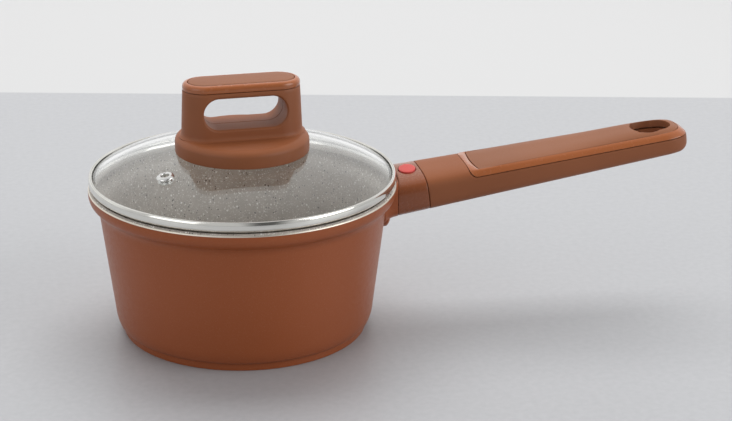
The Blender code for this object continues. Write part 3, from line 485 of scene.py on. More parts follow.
# ---------------------------------------------------------------- the handle's form
LENGTH = 169.0 * MM
ROOT_HALF_WIDTH, TIP_HALF_WIDTH = 20.3 * MM, 15.6 * MM
ROOT_HALF_HEIGHT, TIP_HALF_HEIGHT = 10.7 * MM, 7.0 * MM
POWER = 3.4
ROUND_START = 153.0 * MM
FRAME_START, FRAME_CORNER = 40.8 * MM, 4.0 * MM
HOLE_START, HOLE_END, HOLE_HALF = 140.2 * MM, 161.0 * MM, 8.5 * MM
HOLE_MIDDLE = (HOLE_START + HOLE_END) / 2
PLATE_INSET = 3.75 * MM
SEAM = 0.12 * MM


def at_handle(s, y, w):
    """Distance along the handle, to its side and above its axis, as a place in the row frame."""
    s, y, w = np.broadcast_arrays(np.asarray(s, float), y, w)
    return HANDLE_ROOT + s[..., None] * ALONG + y[..., None] * SIDE + w[..., None] * UP


def straight_width(s):
    """Half the handle's width before its tip is rounded: a straight taper."""
    return ROOT_HALF_WIDTH + (TIP_HALF_WIDTH - ROOT_HALF_WIDTH) * s / LENGTH


def straight_height(s):
    """Half its height in the same way."""
    return ROOT_HALF_HEIGHT + (TIP_HALF_HEIGHT - ROOT_HALF_HEIGHT) * s / LENGTH


def tip_share(s, start, power):
    """What is left of the full size in a rounded end that runs from its start to the tip."""
    return rounded(np.clip((s - start) / (LENGTH - start), 0, 1), power)


def half_width(s):
    """The straight taper, closed by the tip's rounded plan."""
    return straight_width(s) * tip_share(s, ROUND_START, 2.6)


def half_height(s):
    """The straight taper, closed by the tip's rounded side view."""
    return straight_height(s) * tip_share(s, 161.5 * MM, 2.4)


def crown(s, y):
    """Height of the handle's top at a distance along and to the side: a superellipse across."""
    return half_height(s) * rounded(y / np.maximum(half_width(s), 1e-6), POWER)


def wave_power(angle, power=POWER):
    """Cosine and sine of an angle, each raised to 2/power with its sign: a superellipse's two."""
    c, t = np.cos(angle), np.sin(angle)
    return np.sign(c) * np.abs(c) ** (2 / power), np.sign(t) * np.abs(t) ** (2 / power)


def section(s, angle, inset=0.0):
    """The handle's superellipse at a distance along it, drawn in by an inset."""
    c, t = wave_power(angle)
    return (half_width(s) - inset) * c, (half_height(s) - inset) * t


def falling(s, level, fall):
    """A level in millimetres at the frame's front that falls by a share of the way along."""
    return level * MM - fall * (s - FRAME_START)


def frame_foot(s):
    """The trim frame's lower edge: round a corner at its front, then a slow fall."""
    t = np.clip((FRAME_START + FRAME_CORNER - s) / FRAME_CORNER, 0, 1)
    return falling(s, 5.2, 0.0135) + FRAME_CORNER * (1 - np.sqrt(1 - t**2))


def plate_level(s):
    """The height of the top plate's edge, which falls slowly towards the tip."""
    return falling(s, 8.25, 0.0142)


def grip_sections(s, inset, floor):
    """Sections of the grip: up each side on a superellipse to the edge of the seat, then across.

    A section whose seat isn't cut follows the superellipse nearly all the way.
    """
    nearly = 0.985
    wide, high = half_width(s) - inset, half_height(s) - inset
    rise = np.clip(floor / high, 0.02, nearly)
    corner = np.arcsin(rise ** (POWER / 2))
    side = np.linspace(0, 1, 34)
    spread = np.concatenate([-np.pi / 2 * (1 - side[:-1]), side * nearly])
    angle = np.where(spread < 0, spread, spread * corner[:, None])
    c, t = wave_power(angle)
    right_y, right_w = wide[:, None] * c, high[:, None] * t
    edge_y = wide * rounded(rise, POWER)
    across = np.linspace(nearly, -nearly, 41) * edge_y[:, None]
    form = high[:, None] * rounded(across / wide[:, None], POWER)
    level = np.minimum(form, floor[:, None])
    y = np.concatenate([right_y, across, -right_y[:, ::-1]], 1)
    w = np.concatenate([right_w, level, right_w[:, ::-1]], 1)
    return y, w


front_edge, front_round = 16.2 * MM, 0.5 * MM
seat_edge, seat_round = FRAME_START - GAP, 0.3 * MM
stations = np.concatenate(
    [
        front_edge + front_round * (1 - np.cos(quarter(6))),
        np.linspace(17.5 * MM, seat_edge - 0.4 * MM, 14),
        seat_edge - np.array([0.28, 0.16, 0.06, 0.005]) * MM,
        seat_edge + FRAME_CORNER * (1 - np.cos(quarter(12))),
        np.linspace(46 * MM, 152 * MM, 70),
        ROUND_START + (LENGTH - ROUND_START - 0.001 * MM) * np.sin(quarter(30)),
    ]
)
run_in = np.clip(front_round - (stations - front_edge), 0, front_round)
inset = front_round - np.sqrt(np.maximum(front_round**2 - run_in**2, 0))
# The seat's floor lies 0.5 mm under the trim, and in front of the seat nothing is cut.
seat_level = frame_foot(np.maximum(stations + GAP, FRAME_START)) - 0.5 * MM
seat = np.where(stations < seat_edge, 1.0, seat_level)
near_edge = (stations < seat_edge) & (stations > seat_edge - seat_round)
past = stations - seat_edge + seat_round
drop = np.clip(seat_round - np.sqrt(np.maximum(seat_round**2 - past**2, 0)), 0, seat_round)
seat = np.where(near_edge, half_height(stations) - drop, seat)
grip_y, grip_w = grip_sections(stations, inset, seat)
grip_body = skin("grip_body", at_handle(stations[:, None], grip_y, grip_w), material=MATT_BROWN)


# ---------------------------------------------------------------- outlines seen from above
def corner_line(s, y, radius, steps):
    """A quarter circle that turns an outline's side into its front, whose corner is at s and y."""
    turn = np.linspace(np.pi / 2, np.pi, steps)
    return np.stack([s + radius * (1 + np.cos(turn)), y - radius * (1 - np.sin(turn))], -1)


def both_sides(left):
    """A half outline and its mirror, as one closed line."""
    return np.vstack([left, left[::-1] * (1, -1)])


def hole_line(grow):
    """The hanging hole: square with rounded corners towards the pan, round towards the tip."""
    wide = HOLE_HALF + grow
    turn = np.linspace(-np.pi / 2, np.pi / 2, 360)
    tip = np.stack([HOLE_END - HOLE_HALF + wide * np.cos(turn), wide * np.sin(turn)], -1)
    return np.vstack([tip, both_sides(corner_line(HOLE_START - grow, wide, 2.0 * MM, 120))])


def plate_line(grow):
    """The top plate's edge: inset from the handle's side, rounded at the tip and at its front."""
    start = FRAME_START + 5.0 * MM - grow
    end = LENGTH - 4.2 * MM + grow
    corner = 1.3 * MM
    s = end - (end - start - corner) * (1 - np.sin(quarter(400)[::-1]))
    t = np.clip((s - ROUND_START) / (end - ROUND_START), 0, 1)
    y = (straight_width(s) - PLATE_INSET + grow) * rounded(t, 2.5)
    return both_sides(np.vstack([np.stack([s, y], -1), corner_line(start, y[-1], corner, 40)]))


def frame_line():
    """The trim frame's outer edge, where its lower level meets the handle's side."""
    s = FRAME_START + (LENGTH - 0.35 * MM - FRAME_START) * np.sin(quarter(400))
    corner = FRAME_START + FRAME_CORNER * np.linspace(0, 1, 60)[:-1] ** 2
    s = np.concatenate([corner, s[s > FRAME_START + FRAME_CORNER]])
    rise = np.clip(frame_foot(s) / half_height(s), 0, 1)
    left = np.stack([s, half_width(s) * rounded(rise, POWER)], -1)[::-1]
    left[0, 1] = 0.0
    return both_sides(left)


def evenly(line, count):
    """The same closed line, with its points spread evenly along it."""
    closed = np.vstack([line, line[:1]])
    keep = np.concatenate([[True], np.linalg.norm(np.diff(closed, axis=0), axis=1) > 1e-9])
    closed = closed[keep]
    run = np.concatenate([[0], np.cumsum(np.linalg.norm(np.diff(closed, axis=0), axis=1))])
    at = np.linspace(0, run[-1], count, endpoint=False)
    return np.stack([np.interp(at, run, closed[:, 0]), np.interp(at, run, closed[:, 1])], -1)


def by_angle(line, angles, centre):
    """Where rays from a centre cross a closed line."""
    away = line - (centre, 0.0)
    angle = np.arctan2(away[:, 1], away[:, 0])
    order = np.argsort(angle)
    angle, reach = angle[order], np.linalg.norm(away, axis=1)[order]
    angle = np.concatenate([angle - TAU, angle, angle + TAU])
    reach = np.tile(reach, 3)
    found = np.interp(angles, angle, reach)
    return np.stack([centre + found * np.cos(angles), found * np.sin(angles)], -1)


def along_lines(rows):
    """Outlines seen from above, each with its height above the handle's axis."""
    return np.array([at_handle(line[:, 0], line[:, 1], w) for line, w in rows])


outer = evenly(frame_line(), 620)
angles = np.arctan2(outer[:, 1], outer[:, 0] - HOLE_MIDDLE)
inner = by_angle(plate_line(SEAM), angles, HOLE_MIDDLE)
across = np.array([0.0, 0.025, 0.07, 0.15, 0.3, 0.5, 0.7, 0.86, 0.95, 0.985, 1.0])
plan = outer + (inner - outer) * across[:, None, None]
# The trim's face is a bevel, a little convex, from the handle's own side up to the plate's edge.
edge_height = np.minimum(crown(outer[:, 0], outer[:, 1]), 9.62 * MM)
inner_height = plate_level(inner[:, 0])
swell = 0.35 * MM * np.sin(np.pi * across) ** 0.8
face = edge_height + (inner_height - edge_height) * across[:, None] + swell[:, None]
face[[0, -1]] -= SEAM
trim_rows = [(outer, frame_foot(outer[:, 0]) - 0.01 * MM), *zip(plan, face)]
trim_rows += [(inner, frame_foot(plan[-1, :, 0])), (plan[1], frame_foot(plan[1, :, 0]))]
trim_ring = skin(
    "trim_ring", along_lines(trim_rows), ring=True, material=TRIM_BROWN, sharp=30.0
)

LIP = 0.4 * MM
plate_edge = evenly(plate_line(-SEAM), 620)
plate_angles = np.arctan2(plate_edge[:, 1], plate_edge[:, 0] - HOLE_MIDDLE)
hole_edge = by_angle(hole_line(0.0), plate_angles, HOLE_MIDDLE)
hole_lip = by_angle(hole_line(LIP), plate_angles, HOLE_MIDDLE)
step_in = by_angle(plate_line(-0.28 * MM), plate_angles, HOLE_MIDDLE)


def plate_height(line):
    """The top plate: its edge's level, and a crown that is full in the middle and falls by a
    high power of the distance towards the sides, the front and the tip."""
    s, y = line[:, 0], line[:, 1]
    away = (y / (straight_width(s) - PLATE_INSET)) ** 4
    away += np.clip((s - 125 * MM) / (40 * MM), 0, None) ** 6
    away += np.clip((62 * MM - s) / (16.2 * MM), 0, None) ** 4
    full = (0.9 + 1.4 * np.clip((s - 90 * MM) / (45 * MM), 0, 1)) * MM
    return plate_level(s) + full * np.clip(1 - away, 0, 1)


plate_rows = [
    (hole_edge, plate_level(hole_edge[:, 0]) - 2.6 * MM),
    (hole_edge, plate_height(hole_edge) - LIP),
]
for t in (0.12, 0.35, 0.65):
    line = hole_edge + (hole_lip - hole_edge) * t
    plate_rows.append((line, plate_height(line) - LIP * (1 - rounded(1 - t, 2))))
for t in (0.0, *np.linspace(0.02, 1, 36)):
    line = hole_lip + (step_in - hole_lip) * t
    plate_rows.append((line, plate_height(line)))
plate_rows += [
    (plate_edge, plate_height(plate_edge) - SEAM),
    (plate_edge, plate_level(plate_edge[:, 0]) - 2.2 * MM),
]
top_plate = skin(
    "top_plate", along_lines(plate_rows), ring=True, material=PLATE_BROWN, sharp=40.0
)


def flared_cutter(name, line_at, levels, grows):
    """A cutter along the handle's up direction: one closed line per level, each grown a little."""
    return skin(name, along_lines([(line_at(grow), w) for w, grow in zip(levels, grows)]))


def hole_ring(grow):
    """The hanging hole's outline as a cutter's ring."""
    return evenly(hole_line(grow), 160)


turn = quarter(7, 0.85)
flare = 1.2 * MM
underside = -straight_height(HOLE_MIDDLE)
levels = np.concatenate(
    [[underside - 4 * MM], underside + flare * (1 - np.sin(turn))[::-1], [12 * MM]]
)
grows = np.concatenate([[flare * 0.8], (flare * (1 - np.cos(turn)))[::-1], [0.0]])
cut(grip_body, flared_cutter("hole_cutter", hole_ring, levels, grows))


# ---------------------------------------------------------------- collar and button
LUG_RADIUS = RIM_RADIUS + 1.0 * MM
COLLAR_RADIUS = LUG_RADIUS + SEAM


def front_of(y, w, radius):
    """Where a line along the handle leaves an upright cylinder about the pan's axis."""
    across_x = np.sqrt(radius**2 - y**2)
    return (across_x - HANDLE_ROOT[0] - w * UP[0]) / ALONG[0]


def collar_grid():
    """The collar: round its rear edge, along the handle's section to a front edge that follows
    the lug's cylinder, and back through its pocket."""
    angle = np.arange(220) * TAU / 220
    rear, rear_round, front_round = 15.9 * MM, 0.4 * MM, 0.3 * MM
    points = []
    for a in quarter(5):
        size = section(rear - rear_round * (1 - np.cos(a)), angle, rear_round * (1 - np.sin(a)))
        points.append(at_handle(rear - rear_round * (1 - np.cos(a)), *size))
    front = front_of(*section(rear, angle), COLLAR_RADIUS) + front_round
    for part in np.linspace(0, 1, 14)[1:]:
        s = rear - rear_round + (front - rear + rear_round) * part
        points.append(at_handle(s, *section(s, angle)))
    front = front_of(*section(2 * MM, angle), COLLAR_RADIUS)
    for a in quarter(6)[1:]:
        s = front + front_round * (1 - np.sin(a))
        points.append(at_handle(s, *section(s, angle, front_round * (1 - np.cos(a)))))
    c, t = wave_power(angle, 9.0)
    y, w = 10.6 * MM * c, -1.2 * MM + 6.2 * MM * t
    front = front_of(y, w, COLLAR_RADIUS)
    points += [at_handle(s, y, w) for s in (front, front + front_round, rear)]
    return np.array(points)


collar_shell = skin("collar_shell", collar_grid(), ring=True, material=GLOSS_BROWN)
BUTTON_AT = 9.3 * MM
BUTTON_LONG, BUTTON_WIDE = 9.2 * MM, 14.0 * MM


def button_ring(grow):
    """The button's oval, grown evenly."""
    angle = np.arange(120) * TAU / 120
    long, wide = BUTTON_LONG / 2 + grow, BUTTON_WIDE / 2 + grow
    return np.stack([BUTTON_AT + long * np.cos(angle), wide * np.sin(angle)], -1)


collar_top = straight_height(BUTTON_AT)
hole_round = 0.4 * MM
turn = quarter(5, 0.8)
levels = np.concatenate(
    [[3.0 * MM], collar_top - hole_round * (1 - np.sin(turn)), [collar_top + 2 * MM]]
)
grows = np.concatenate([[GAP], GAP + hole_round * (1 - np.cos(turn)), [GAP + hole_round]])
cut(collar_shell, flared_cutter("button_cutter", button_ring, levels, grows))

button_steps = mm(
    (0.15, 0.0), (0.38, 0.05), (0.58, 0.18), (0.70, 0.42), (0.76, 0.9), (0.80, 1.8), (0.83, 3.0),
    (0.84, 4.0),
)
button_rows = [(button_ring(0.0), 7.0 * MM)]
button_rows += [(button_ring(-less), collar_top + rise) for rise, less in button_steps]
push_button = skin("push_button", along_lines(button_rows), material=RED)


# ---------------------------------------------------------------- lug on the pan
def lug_grid():
    """The cast lug: a bar of the handle's section that flares into the wall, faced to a cylinder.

    Its back is pushed out along the radius until it lies in the middle of the wall's thickness.
    """
    angle = np.arange(180) * TAU / 180
    back, flare_end, swell = -13 * MM, -9.5 * MM, 2.2 * MM
    y, w = section(0.0, angle, -swell)
    rows = [at_handle(back, y * k, w * k) for k in (0.2, 0.4, 0.6, 0.8)]
    for s in np.linspace(back, -2.5 * MM, 16):
        flare = swell * np.exp(-max(s - flare_end, 0.0) / (2.6 * MM))
        rows.append(at_handle(s, *section(0.0, angle, -flare)))
    stand, edge = 0.1 * MM, 0.15 * MM
    y, w = section(0.0, angle, -stand)
    front = front_of(y, w, LUG_RADIUS)
    for a in quarter(5):
        size = section(0.0, angle, edge * (1 - np.cos(a)) - stand)
        rows.append(at_handle(front - edge * (1 - np.sin(a)), *size))
    for k in (0.75, 0.5, 0.25):
        rows.append(at_handle(front_of(y * k, w * k, LUG_RADIUS), y * k, w * k))
    grid = np.array(rows)
    grid[..., 2] = np.minimum(grid[..., 2], RIM_HEIGHT - 1.1 * MM)
    below_rim = np.array([24.0, 16.0, 11.3, 7.8, 4.3, 1.2]) * MM
    inside_rim = np.array([8.0, 7.1, 6.2, 3.5, 1.8, 1.5]) * MM
    core = RIM_RADIUS - np.interp(RIM_HEIGHT - grid[..., 2], below_rim[::-1], inside_rim[::-1])
    radius = np.hypot(grid[..., 0], grid[..., 1])
    grid[..., :2] *= np.maximum(1, core / radius)[..., None]
    return grid


def wall_radius(z):
    """The straight part of the pan's outer wall."""
    part = (z - WALL_FOOT_UP) / (RIM_HEIGHT - WALL_TOP_DOWN - WALL_FOOT_UP)
    return RIM_RADIUS - WALL_FOOT + (WALL_FOOT - WALL_TOP) * part


def heel_grid():
    """The lug's heel: a boss on the wall whose width follows a superellipse and whose proudness
    grows from nothing at its foot to full height."""
    foot = HANDLE_ROOT[2] - 17.0 * MM
    across = np.sin(np.linspace(-np.pi / 2, np.pi / 2, 61))
    swell = np.clip(1 - np.abs(across) ** 10, 0, 1) ** 0.2
    rows = []
    for u in np.linspace(0.0, 1, 30):
        z = foot + 12.0 * MM * u
        y = 19.5 * MM * rounded(1 - min(u + 0.03, 1.0), 3) * across
        proud = 3.4 * MM * rounded(1 - min(u / 0.62, 1.0), 2.2)
        out = np.sqrt((wall_radius(z) + proud * swell - 0.05 * MM) ** 2 - y**2)
        deep = np.sqrt((wall_radius(z) - 1.6 * MM) ** 2 - y**2)
        front, back = (np.stack([x, y, np.full(61, z)], -1) for x in (out, deep))
        rows.append(np.vstack([front, back[::-1]]))
    return np.array(rows)


cast_lug = skin("cast_lug", lug_grid(), material=LACQUER)
pocket = eased([(-10.3, -6.3), (10.3, -6.3), (10.3, 3.9), (-10.3, 3.9)], 1.2, closed=True) * MM
pocket_grid = np.array([at_handle(s, pocket[:, 0], pocket[:, 1]) for s in (-1.6 * MM, 9 * MM)])
cut(cast_lug, skin("pocket_cutter", pocket_grid))
lug_heel = skin("lug_heel", heel_grid(), material=LACQUER, sharp=50.0)


# ---------------------------------------------------------------- lid
GLASS_FALL = 15.6 * MM
GLASS_SPAN = BAND_RADIUS - 1.9 * MM
EDGE_BEND = 3.3 * MM


def dome(r):
    """The glass's upper face: a parabola that falls from its crown, with an eighth power added
    so that it bends down more steeply in its last few millimetres."""
    t = r / GLASS_SPAN
    return GLASS_CROWN - (GLASS_FALL - EDGE_BEND) * t**2 - EDGE_BEND * t**8


def dome_slope(r):
    """How steeply the glass falls at a radius: the dome's own derivative."""
    t = r / GLASS_SPAN
    return (2 * (GLASS_FALL - EDGE_BEND) * t + 8 * EDGE_BEND * t**7) / GLASS_SPAN


glass_r = np.linspace(3.2 * MM, GLASS_RADIUS - 1.1 * MM, 90)
slope = np.arctan(dome_slope(glass_r))
under_r = glass_r - GLASS_THICKNESS * np.sin(slope) * 0.9
under = np.stack([under_r, dome(glass_r) - GLASS_THICKNESS * np.cos(slope)], -1)
edge_steps = mm((-0.5, 0.0), (0.0, -1.0), (-0.4, -2.6), (-2.2, -3.5))
glass_profile = np.vstack(
    [
        np.stack([glass_r, dome(glass_r)], -1),
        eased(edge_steps + (GLASS_RADIUS, dome(GLASS_RADIUS)), 0.8 * MM),
        under[under_r < GLASS_RADIUS - 3.5 * MM][::-1],
    ]
)
dome_glass = turned("dome_glass", glass_profile, GLASS, steps=288, ring=True)

band_steps = mm(
    (-2.2, -0.75), (-1.4, 0.0), (-0.5, -0.3), (0.0, -2.0), (-0.2, -4.2), (-1.1, -5.5),
    (-3.0, -6.4), (-3.5, -7.6), (-3.5, -11.0), (-4.1, -11.0), (-4.1, -7.2), (-3.4, -5.85),
    (-1.4, -4.95), (-0.75, -4.0), (-0.6, -2.0), (-0.9, -0.9), (-1.35, -0.65), (-1.8, -0.95),
)
band_profile = eased(band_steps + (BAND_RADIUS, BAND_TOP), 0.7 * MM, closed=True)
rim_band = turned("rim_band", band_profile, BAND_STEEL, steps=288, ring=True, sharp=60.0)

VENT_REACH = 54.0 * MM
VENT_ANGLE = np.radians(-145.2)
vent_steps = mm(
    (2.4, 1.45), (3.15, 1.5), (4.35, 1.0), (4.75, 0.4), (4.45, 0.15), (2.85, 0.15), (2.85, -4.2),
    (4.25, -4.2), (4.05, -4.8), (3.05, -5.1), (2.25, -4.9), (2.15, 0.9),
)
vent_profile = eased(vent_steps, 0.5 * MM, closed=True)
vent_eye = turned("vent_eye", vent_profile, VENT_STEEL, steps=96, ring=True)
tilt = np.arctan(dome_slope(VENT_REACH))
vent_eye.data.transform(
    Matrix.Translation(
        (VENT_REACH * np.cos(VENT_ANGLE), VENT_REACH * np.sin(VENT_ANGLE), dome(VENT_REACH))
    )
    @ Matrix.Rotation(VENT_ANGLE, 4, "Z")
    @ Matrix.Rotation(tilt, 4, "Y")
)

# ---------------------------------------------------------------- knob
KNOB_TURN = Matrix.Rotation(np.radians(3.5), 4, "Z")
SKIRT = 36.0 * MM
SKIRT_TOP = LOOP_TOP - 25.25 * MM
SKIRT_FOOT = SKIRT_TOP - 9.35 * MM
skirt_steps = [
    (0.0, SKIRT_TOP + 0.1 * MM),
    (SKIRT - 3.0 * MM, SKIRT_TOP),
    (SKIRT - 0.3 * MM, SKIRT_TOP - 2.0 * MM),
    (SKIRT, SKIRT_TOP - 4.6 * MM),
    (SKIRT, SKIRT_FOOT),
    (SKIRT - 2.7 * MM, SKIRT_FOOT),
    (SKIRT - 2.7 * MM, SKIRT_TOP - 4.2 * MM),
    (9.3 * MM, SKIRT_TOP - 3.1 * MM),
    (9.0 * MM, GLASS_CROWN + 0.4 * MM),
    (4.3 * MM, GLASS_CROWN + 0.4 * MM),
    (4.3 * MM, SKIRT_TOP - 1.5 * MM),
    (0.0, SKIRT_TOP - 1.5 * MM),
]
skirt_ease = np.array([0, 1.7, 1.7, 1.5, 0.5, 0.5, 1.0, 0.8, 0.4, 0.2, 0.2, 0]) * MM
knob_skirt = turned("knob_skirt", eased(skirt_steps, skirt_ease), MATT_BROWN, sharp=50.0)


def stadium(long, wide, count=220):
    """A straight-sided outline with round ends, its points spread evenly."""
    r = wide / 2
    turn = np.linspace(-np.pi / 2, np.pi / 2, 80)
    right = np.stack([long / 2 - r + r * np.cos(turn), r * np.sin(turn)], -1)
    return evenly(np.vstack([right, -right]), count)


def standing(rows):
    """A loft of stadiums, one for each (height, length, width)."""
    return np.array(
        [np.insert(stadium(long, wide), 2, height, axis=1) for height, long, wide in rows]
    )


def drawn_in(long, wide, base, *steps):
    """Rows for a loft: millimetres above a base, each with how much shorter and narrower it is."""
    return [(base + rise * MM, long - less * MM, wide - less * MM) for rise, less in steps]


FOOT_LONG, FOOT_WIDE = 65.4 * MM, 28.0 * MM
TOP_LONG, TOP_WIDE = 63.2 * MM, 24.5 * MM
PLATE_LONG, PLATE_WIDE = 57.0 * MM, 17.7 * MM
SLOT_LONG, SLOT_WIDE, SLOT_RISE = 44.7 * MM, 16.6 * MM, 14.0 * MM


def loop_size(z):
    """The loop's length and width at a height: a straight taper from its foot to its top."""
    t = np.clip((z - SKIRT_TOP) / (LOOP_TOP - SKIRT_TOP), 0, 1)
    return FOOT_LONG + (TOP_LONG - FOOT_LONG) * t, FOOT_WIDE + (TOP_WIDE - FOOT_WIDE) * t


fillet = 2.4 * MM
loop_heights = np.concatenate(
    [
        [SKIRT_TOP - 1.2 * MM],
        SKIRT_TOP + fillet * (1 - np.cos(quarter(8))),
        np.linspace(SKIRT_TOP + fillet, LOOP_TOP, 12)[1:-1],
    ]
)
loop_rows = []
for z in loop_heights:
    left = np.clip(fillet - (z - SKIRT_TOP), 0, fillet)
    flare = 1.2 * (fillet - np.sqrt(fillet**2 - left**2))
    long, wide = loop_size(z)
    loop_rows.append((z, long + flare, wide + flare))
loop_rows += drawn_in(TOP_LONG, TOP_WIDE, LOOP_TOP, (-0.3, 0.0), (0.0, 0.5))
knob_loop = skin("knob_loop", standing(loop_rows), material=MATT_BROWN)


def slot_grid():
    """The finger slot's cutter: a stadium carried through the loop, flared where it comes out.

    The flare is a quarter circle whose depth is counted from the loop's own face, and halfway
    through a narrow ridge leaves the mould's parting line.
    """
    ring = stadium(SLOT_LONG, SLOT_WIDE)
    outward = np.roll(ring, -1, 0) - np.roll(ring, 1, 0)
    outward /= np.linalg.norm(outward, axis=1, keepdims=True)
    normal = np.stack([outward[:, 1], -outward[:, 0]], -1)
    middle = SKIRT_TOP + SLOT_RISE
    long, wide = (size / 2 for size in loop_size(middle + ring[:, 1]))
    past = np.clip(np.abs(ring[:, 0]) - (long - wide), 0, None)
    face = np.sqrt(np.maximum(wide**2 - past**2, 0))
    r = 1.5 * MM
    rows = [(r - face - r * np.sin(a), r * (1 - np.cos(a))) for a in quarter(7, 0.8)[::-1]]
    rows = [(-(face + 3 * MM), rows[0][1]), *rows]
    still = np.zeros_like(face)
    rows += [(still - 0.3 * MM, 0.0), (still - 0.16 * MM, 0.32 * MM)]
    rows += [(-y, grow) for y, grow in rows[::-1]]
    grid = []
    for y, grow in rows:
        at = ring + normal * grow
        grid.append(np.stack([at[:, 0], y, middle + at[:, 1]], -1))
    return np.array(grid)


cut(knob_loop, skin("slot_cutter", slot_grid()))

cap_foot = LOOP_TOP + GAP
cap_top = cap_foot + 3.8 * MM
cap_round = 2.3 * MM
cap_rows = drawn_in(TOP_LONG, TOP_WIDE, cap_foot, (0.0, 0.6), (0.08, 0.2), (0.3, 0.0))
for a in quarter(9):
    pull = 2 * cap_round * (1 - np.cos(a))
    cap_rows.append((cap_top - cap_round * (1 - np.sin(a)), TOP_LONG - pull, TOP_WIDE - pull))
cap_rows += drawn_in(
    PLATE_LONG, PLATE_WIDE, cap_top, (-0.02, -0.9), (-0.3, -0.6), (-1.5, -0.6)
)
knob_top = skin("knob_top", standing(cap_rows), material=TRIM_BROWN)
knob_plate_rows = drawn_in(
    PLATE_LONG, PLATE_WIDE, cap_top, (-1.3, 0.0), (-0.15, 0.0), (0.05, 0.25), (0.14, 0.8),
    (0.22, 3.0), (0.29, 7.0), (0.32, 12.0),
)
knob_plate = skin("knob_plate", standing(knob_plate_rows), material=PLATE_BROWN)
for piece in (knob_skirt, knob_loop, knob_top, knob_plate):
    piece.data.transform(KNOB_TURN)

# ---------------------------------------------------------------- what rides on what
RIDES = [
    (pan_shell, "pan", "pan_lacquer", ["pot_body"]),
    (pan_lining, "pan", "pan_lacquer", []),
    (bare_line, "pan", "pan_lacquer", []),
    (cast_lug, "pan", "pan_lacquer", []),
    (lug_heel, "pan", "pan_lacquer", []),
    (base_plate, "pan", "base_steel", ["base_disc"]),
    (collar_shell, "handle", "gloss_brown", ["collar"]),
    (grip_body, "handle", "matt_brown", ["grip"]),
    (trim_ring, "handle", "gloss_brown", ["trim_frame"]),
    (top_plate, "handle", "matt_brown", ["top_inlay"]),
    (push_button, "button", "button_red", ["release_button"]),
    (dome_glass, "lid", "lid_glass", ["lid_glass"]),
    (rim_band, "lid", "band_steel", ["lid_band"]),
    (vent_eye, "lid", "band_steel", ["vent_eyelet"]),
    (knob_skirt, "lid", "matt_brown", ["knob_body"]),
    (knob_loop, "lid", "matt_brown", []),
    (knob_top, "lid", "gloss_brown", ["knob_cap"]),
    (knob_plate, "lid", "matt_brown", ["knob_inlay"]),
]
for piece, body, slot, stands_for in RIDES:
    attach(piece, body)
    if stands_for:
        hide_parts(*stands_for)

STEEL_FITTINGS = (
    "handle_bracket", "bracket_screw_1", "bracket_screw_2", "collar_screw_1", "collar_screw_2",
    "catch_spring", "catch_screw", "knob_screw", "knob_washer",
)
paints = {**dict.fromkeys(STEEL_FITTINGS, FITTING_STEEL), "knob_insert": BRASS}
paints["knob_gasket"] = RUBBER
for node, paint in paints.items():
    mesh = frame["nodes"][node].data
    mesh.materials.clear()
    mesh.materials.append(paint)

# ---------------------------------------------------------------- floor, light and camera
CAMERA_AT = Vector((-0.12027, -0.91353, 0.39903))
HEADING, DOWN, ROLL = np.radians((11.642, 19.962, 0.429))
ahead = Vector((np.sin(HEADING) * np.cos(DOWN), np.cos(HEADING) * np.cos(DOWN), -np.sin(DOWN)))
level_right = ahead.cross(Vector((0, 0, 1))).normalized()
level_up = level_right.cross(ahead)
right = level_right * np.cos(ROLL) + level_up * np.sin(ROLL)
up = level_up * np.cos(ROLL) - level_right * np.sin(ROLL)
lens = bpy.data.cameras.new("camera")
lens.sensor_width = 36.0
lens.lens = 88.52
camera = bpy.data.objects.new("camera", lens)
camera.matrix_world = Matrix(
    (
        (right.x, up.x, -ahead.x, CAMERA_AT.x),
        (right.y, up.y, -ahead.y, CAMERA_AT.y),
        (right.z, up.z, -ahead.z, CAMERA_AT.z),
        (0, 0, 0, 1),
    )
)
bpy.context.scene.collection.objects.link(camera)
bpy.context.scene.camera = camera

FLOOR_DEPTH = 1.365  # how far ahead of the camera the table top gives way to the backdrop
lines = np.linspace(-6, 6, 13)
floor_grid = np.stack([*np.meshgrid(lines, lines, indexing="ij"), np.zeros((13, 13))], -1)


def floor_paint():
    """A pale grey table top that gives way to a lighter backdrop sheet behind a straight line."""
    made, tree, shader, where = new_material("pale floor")
    turn = tree.nodes.new("ShaderNodeMapping")
    turn.inputs["Rotation"].default_value = (0, 0, HEADING)
    tree.links.new(where, turn.inputs["Vector"])
    parts = tree.nodes.new("ShaderNodeSeparateXYZ")
    tree.links.new(turn.outputs["Vector"], parts.inputs["Vector"])
    forward = Vector((np.sin(HEADING), np.cos(HEADING), 0))
    line = CAMERA_AT.dot(forward) + FLOOR_DEPTH
    back = ranged(tree, parts.outputs["Y"], line - 0.001, line + 0.001)
    grain = ranged(tree, noise(tree, where, 260.0, 3.0))
    table = mixed(tree, grain, (0.395, 0.40, 0.413), (0.425, 0.43, 0.443))
    tree.links.new(mixed(tree, back, table, (0.535, 0.535, 0.535)), shader.inputs["Base Color"])
    shader.inputs["Roughness"].default_value = 0.40
    return made


floor = skin("floor", floor_grid, around=False, material=floor_paint())


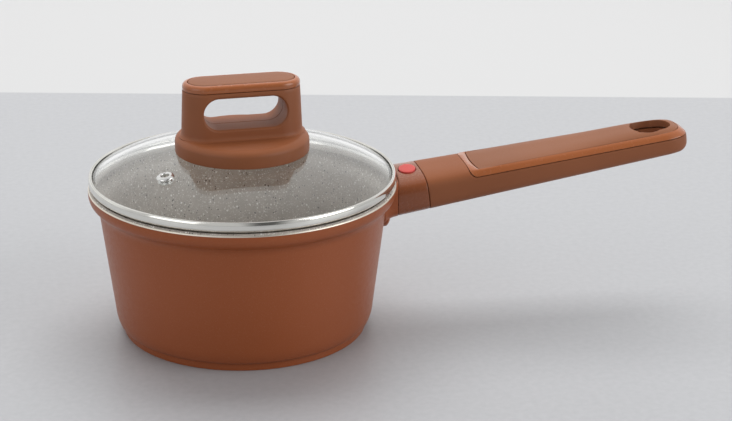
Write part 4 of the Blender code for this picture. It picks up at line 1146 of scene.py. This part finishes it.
def soft_light(name, place, aim, size, power, mirrored=True):
    """A square lamp turned towards a point. One that isn't mirrored lights the pan but makes no
    hard-edged patch on its lid."""
    lamp = bpy.data.lights.new(name, "AREA")
    lamp.shape = "RECTANGLE"
    lamp.size, lamp.size_y = size
    lamp.energy = power
    holder = bpy.data.objects.new(name, lamp)
    holder.location = place
    holder.visible_glossy = mirrored
    holder.visible_transmission = mirrored
    way = Vector(aim) - Vector(place)
    holder.rotation_euler = way.to_track_quat("-Z", "Y").to_euler()
    bpy.context.scene.collection.objects.link(holder)


soft_light("overhead softbox", (0.1, 0.9, 1.8), (0.05, 0.0, 0.05), (1.8, 1.4), 34.0, False)
soft_light("left softbox", (-1.5, -0.9, 0.9), (0.0, 0.0, 0.05), (1.3, 1.3), 5.0)
soft_light("right softbox", (1.5, -0.9, 0.9), (0.0, 0.0, 0.05), (1.3, 1.3), 13.0)


def studio():
    """The room's light by direction: an even grey, a bright low backdrop behind the table, and
    a dim gap between the two front lamps."""
    sky = bpy.data.worlds.new("studio")
    sky.use_nodes = True
    tree = sky.node_tree
    place = tree.nodes.new("ShaderNodeTexCoord")
    parts = tree.nodes.new("ShaderNodeSeparateXYZ")
    tree.links.new(place.outputs["Generated"], parts.inputs["Vector"])
    x, y, z = (parts.outputs[axis] for axis in "XYZ")
    behind = ranged(tree, y, 0.1, 0.5)
    sheet = arithmetic(tree, "MULTIPLY", behind, ranged(tree, z, 0.20, 0.34, 1.0, 0.0))
    offset = arithmetic(tree, "ABSOLUTE", arithmetic(tree, "SUBTRACT", x, 0.15))
    near_middle = ranged(tree, offset, 0.10, 0.32, 1.0, 0.0)
    gap = arithmetic(tree, "MULTIPLY", near_middle, ranged(tree, y, -0.05, -0.3))
    high_back = arithmetic(tree, "MULTIPLY", behind, ranged(tree, z, 0.30, 0.45))
    colour = mixed(tree, sheet, (0.56, 0.56, 0.565), (0.97, 0.97, 0.97))
    colour = mixed(tree, high_back, colour, (0.86, 0.86, 0.86))
    colour = mixed(tree, gap, colour, (0.10, 0.10, 0.10))
    tree.links.new(colour, tree.nodes["Background"].inputs["Color"])
    tree.nodes["Background"].inputs["Strength"].default_value = 1.0
    return sky


bpy.context.scene.world = studio()
bpy.context.scene.view_settings.view_transform = "Standard"
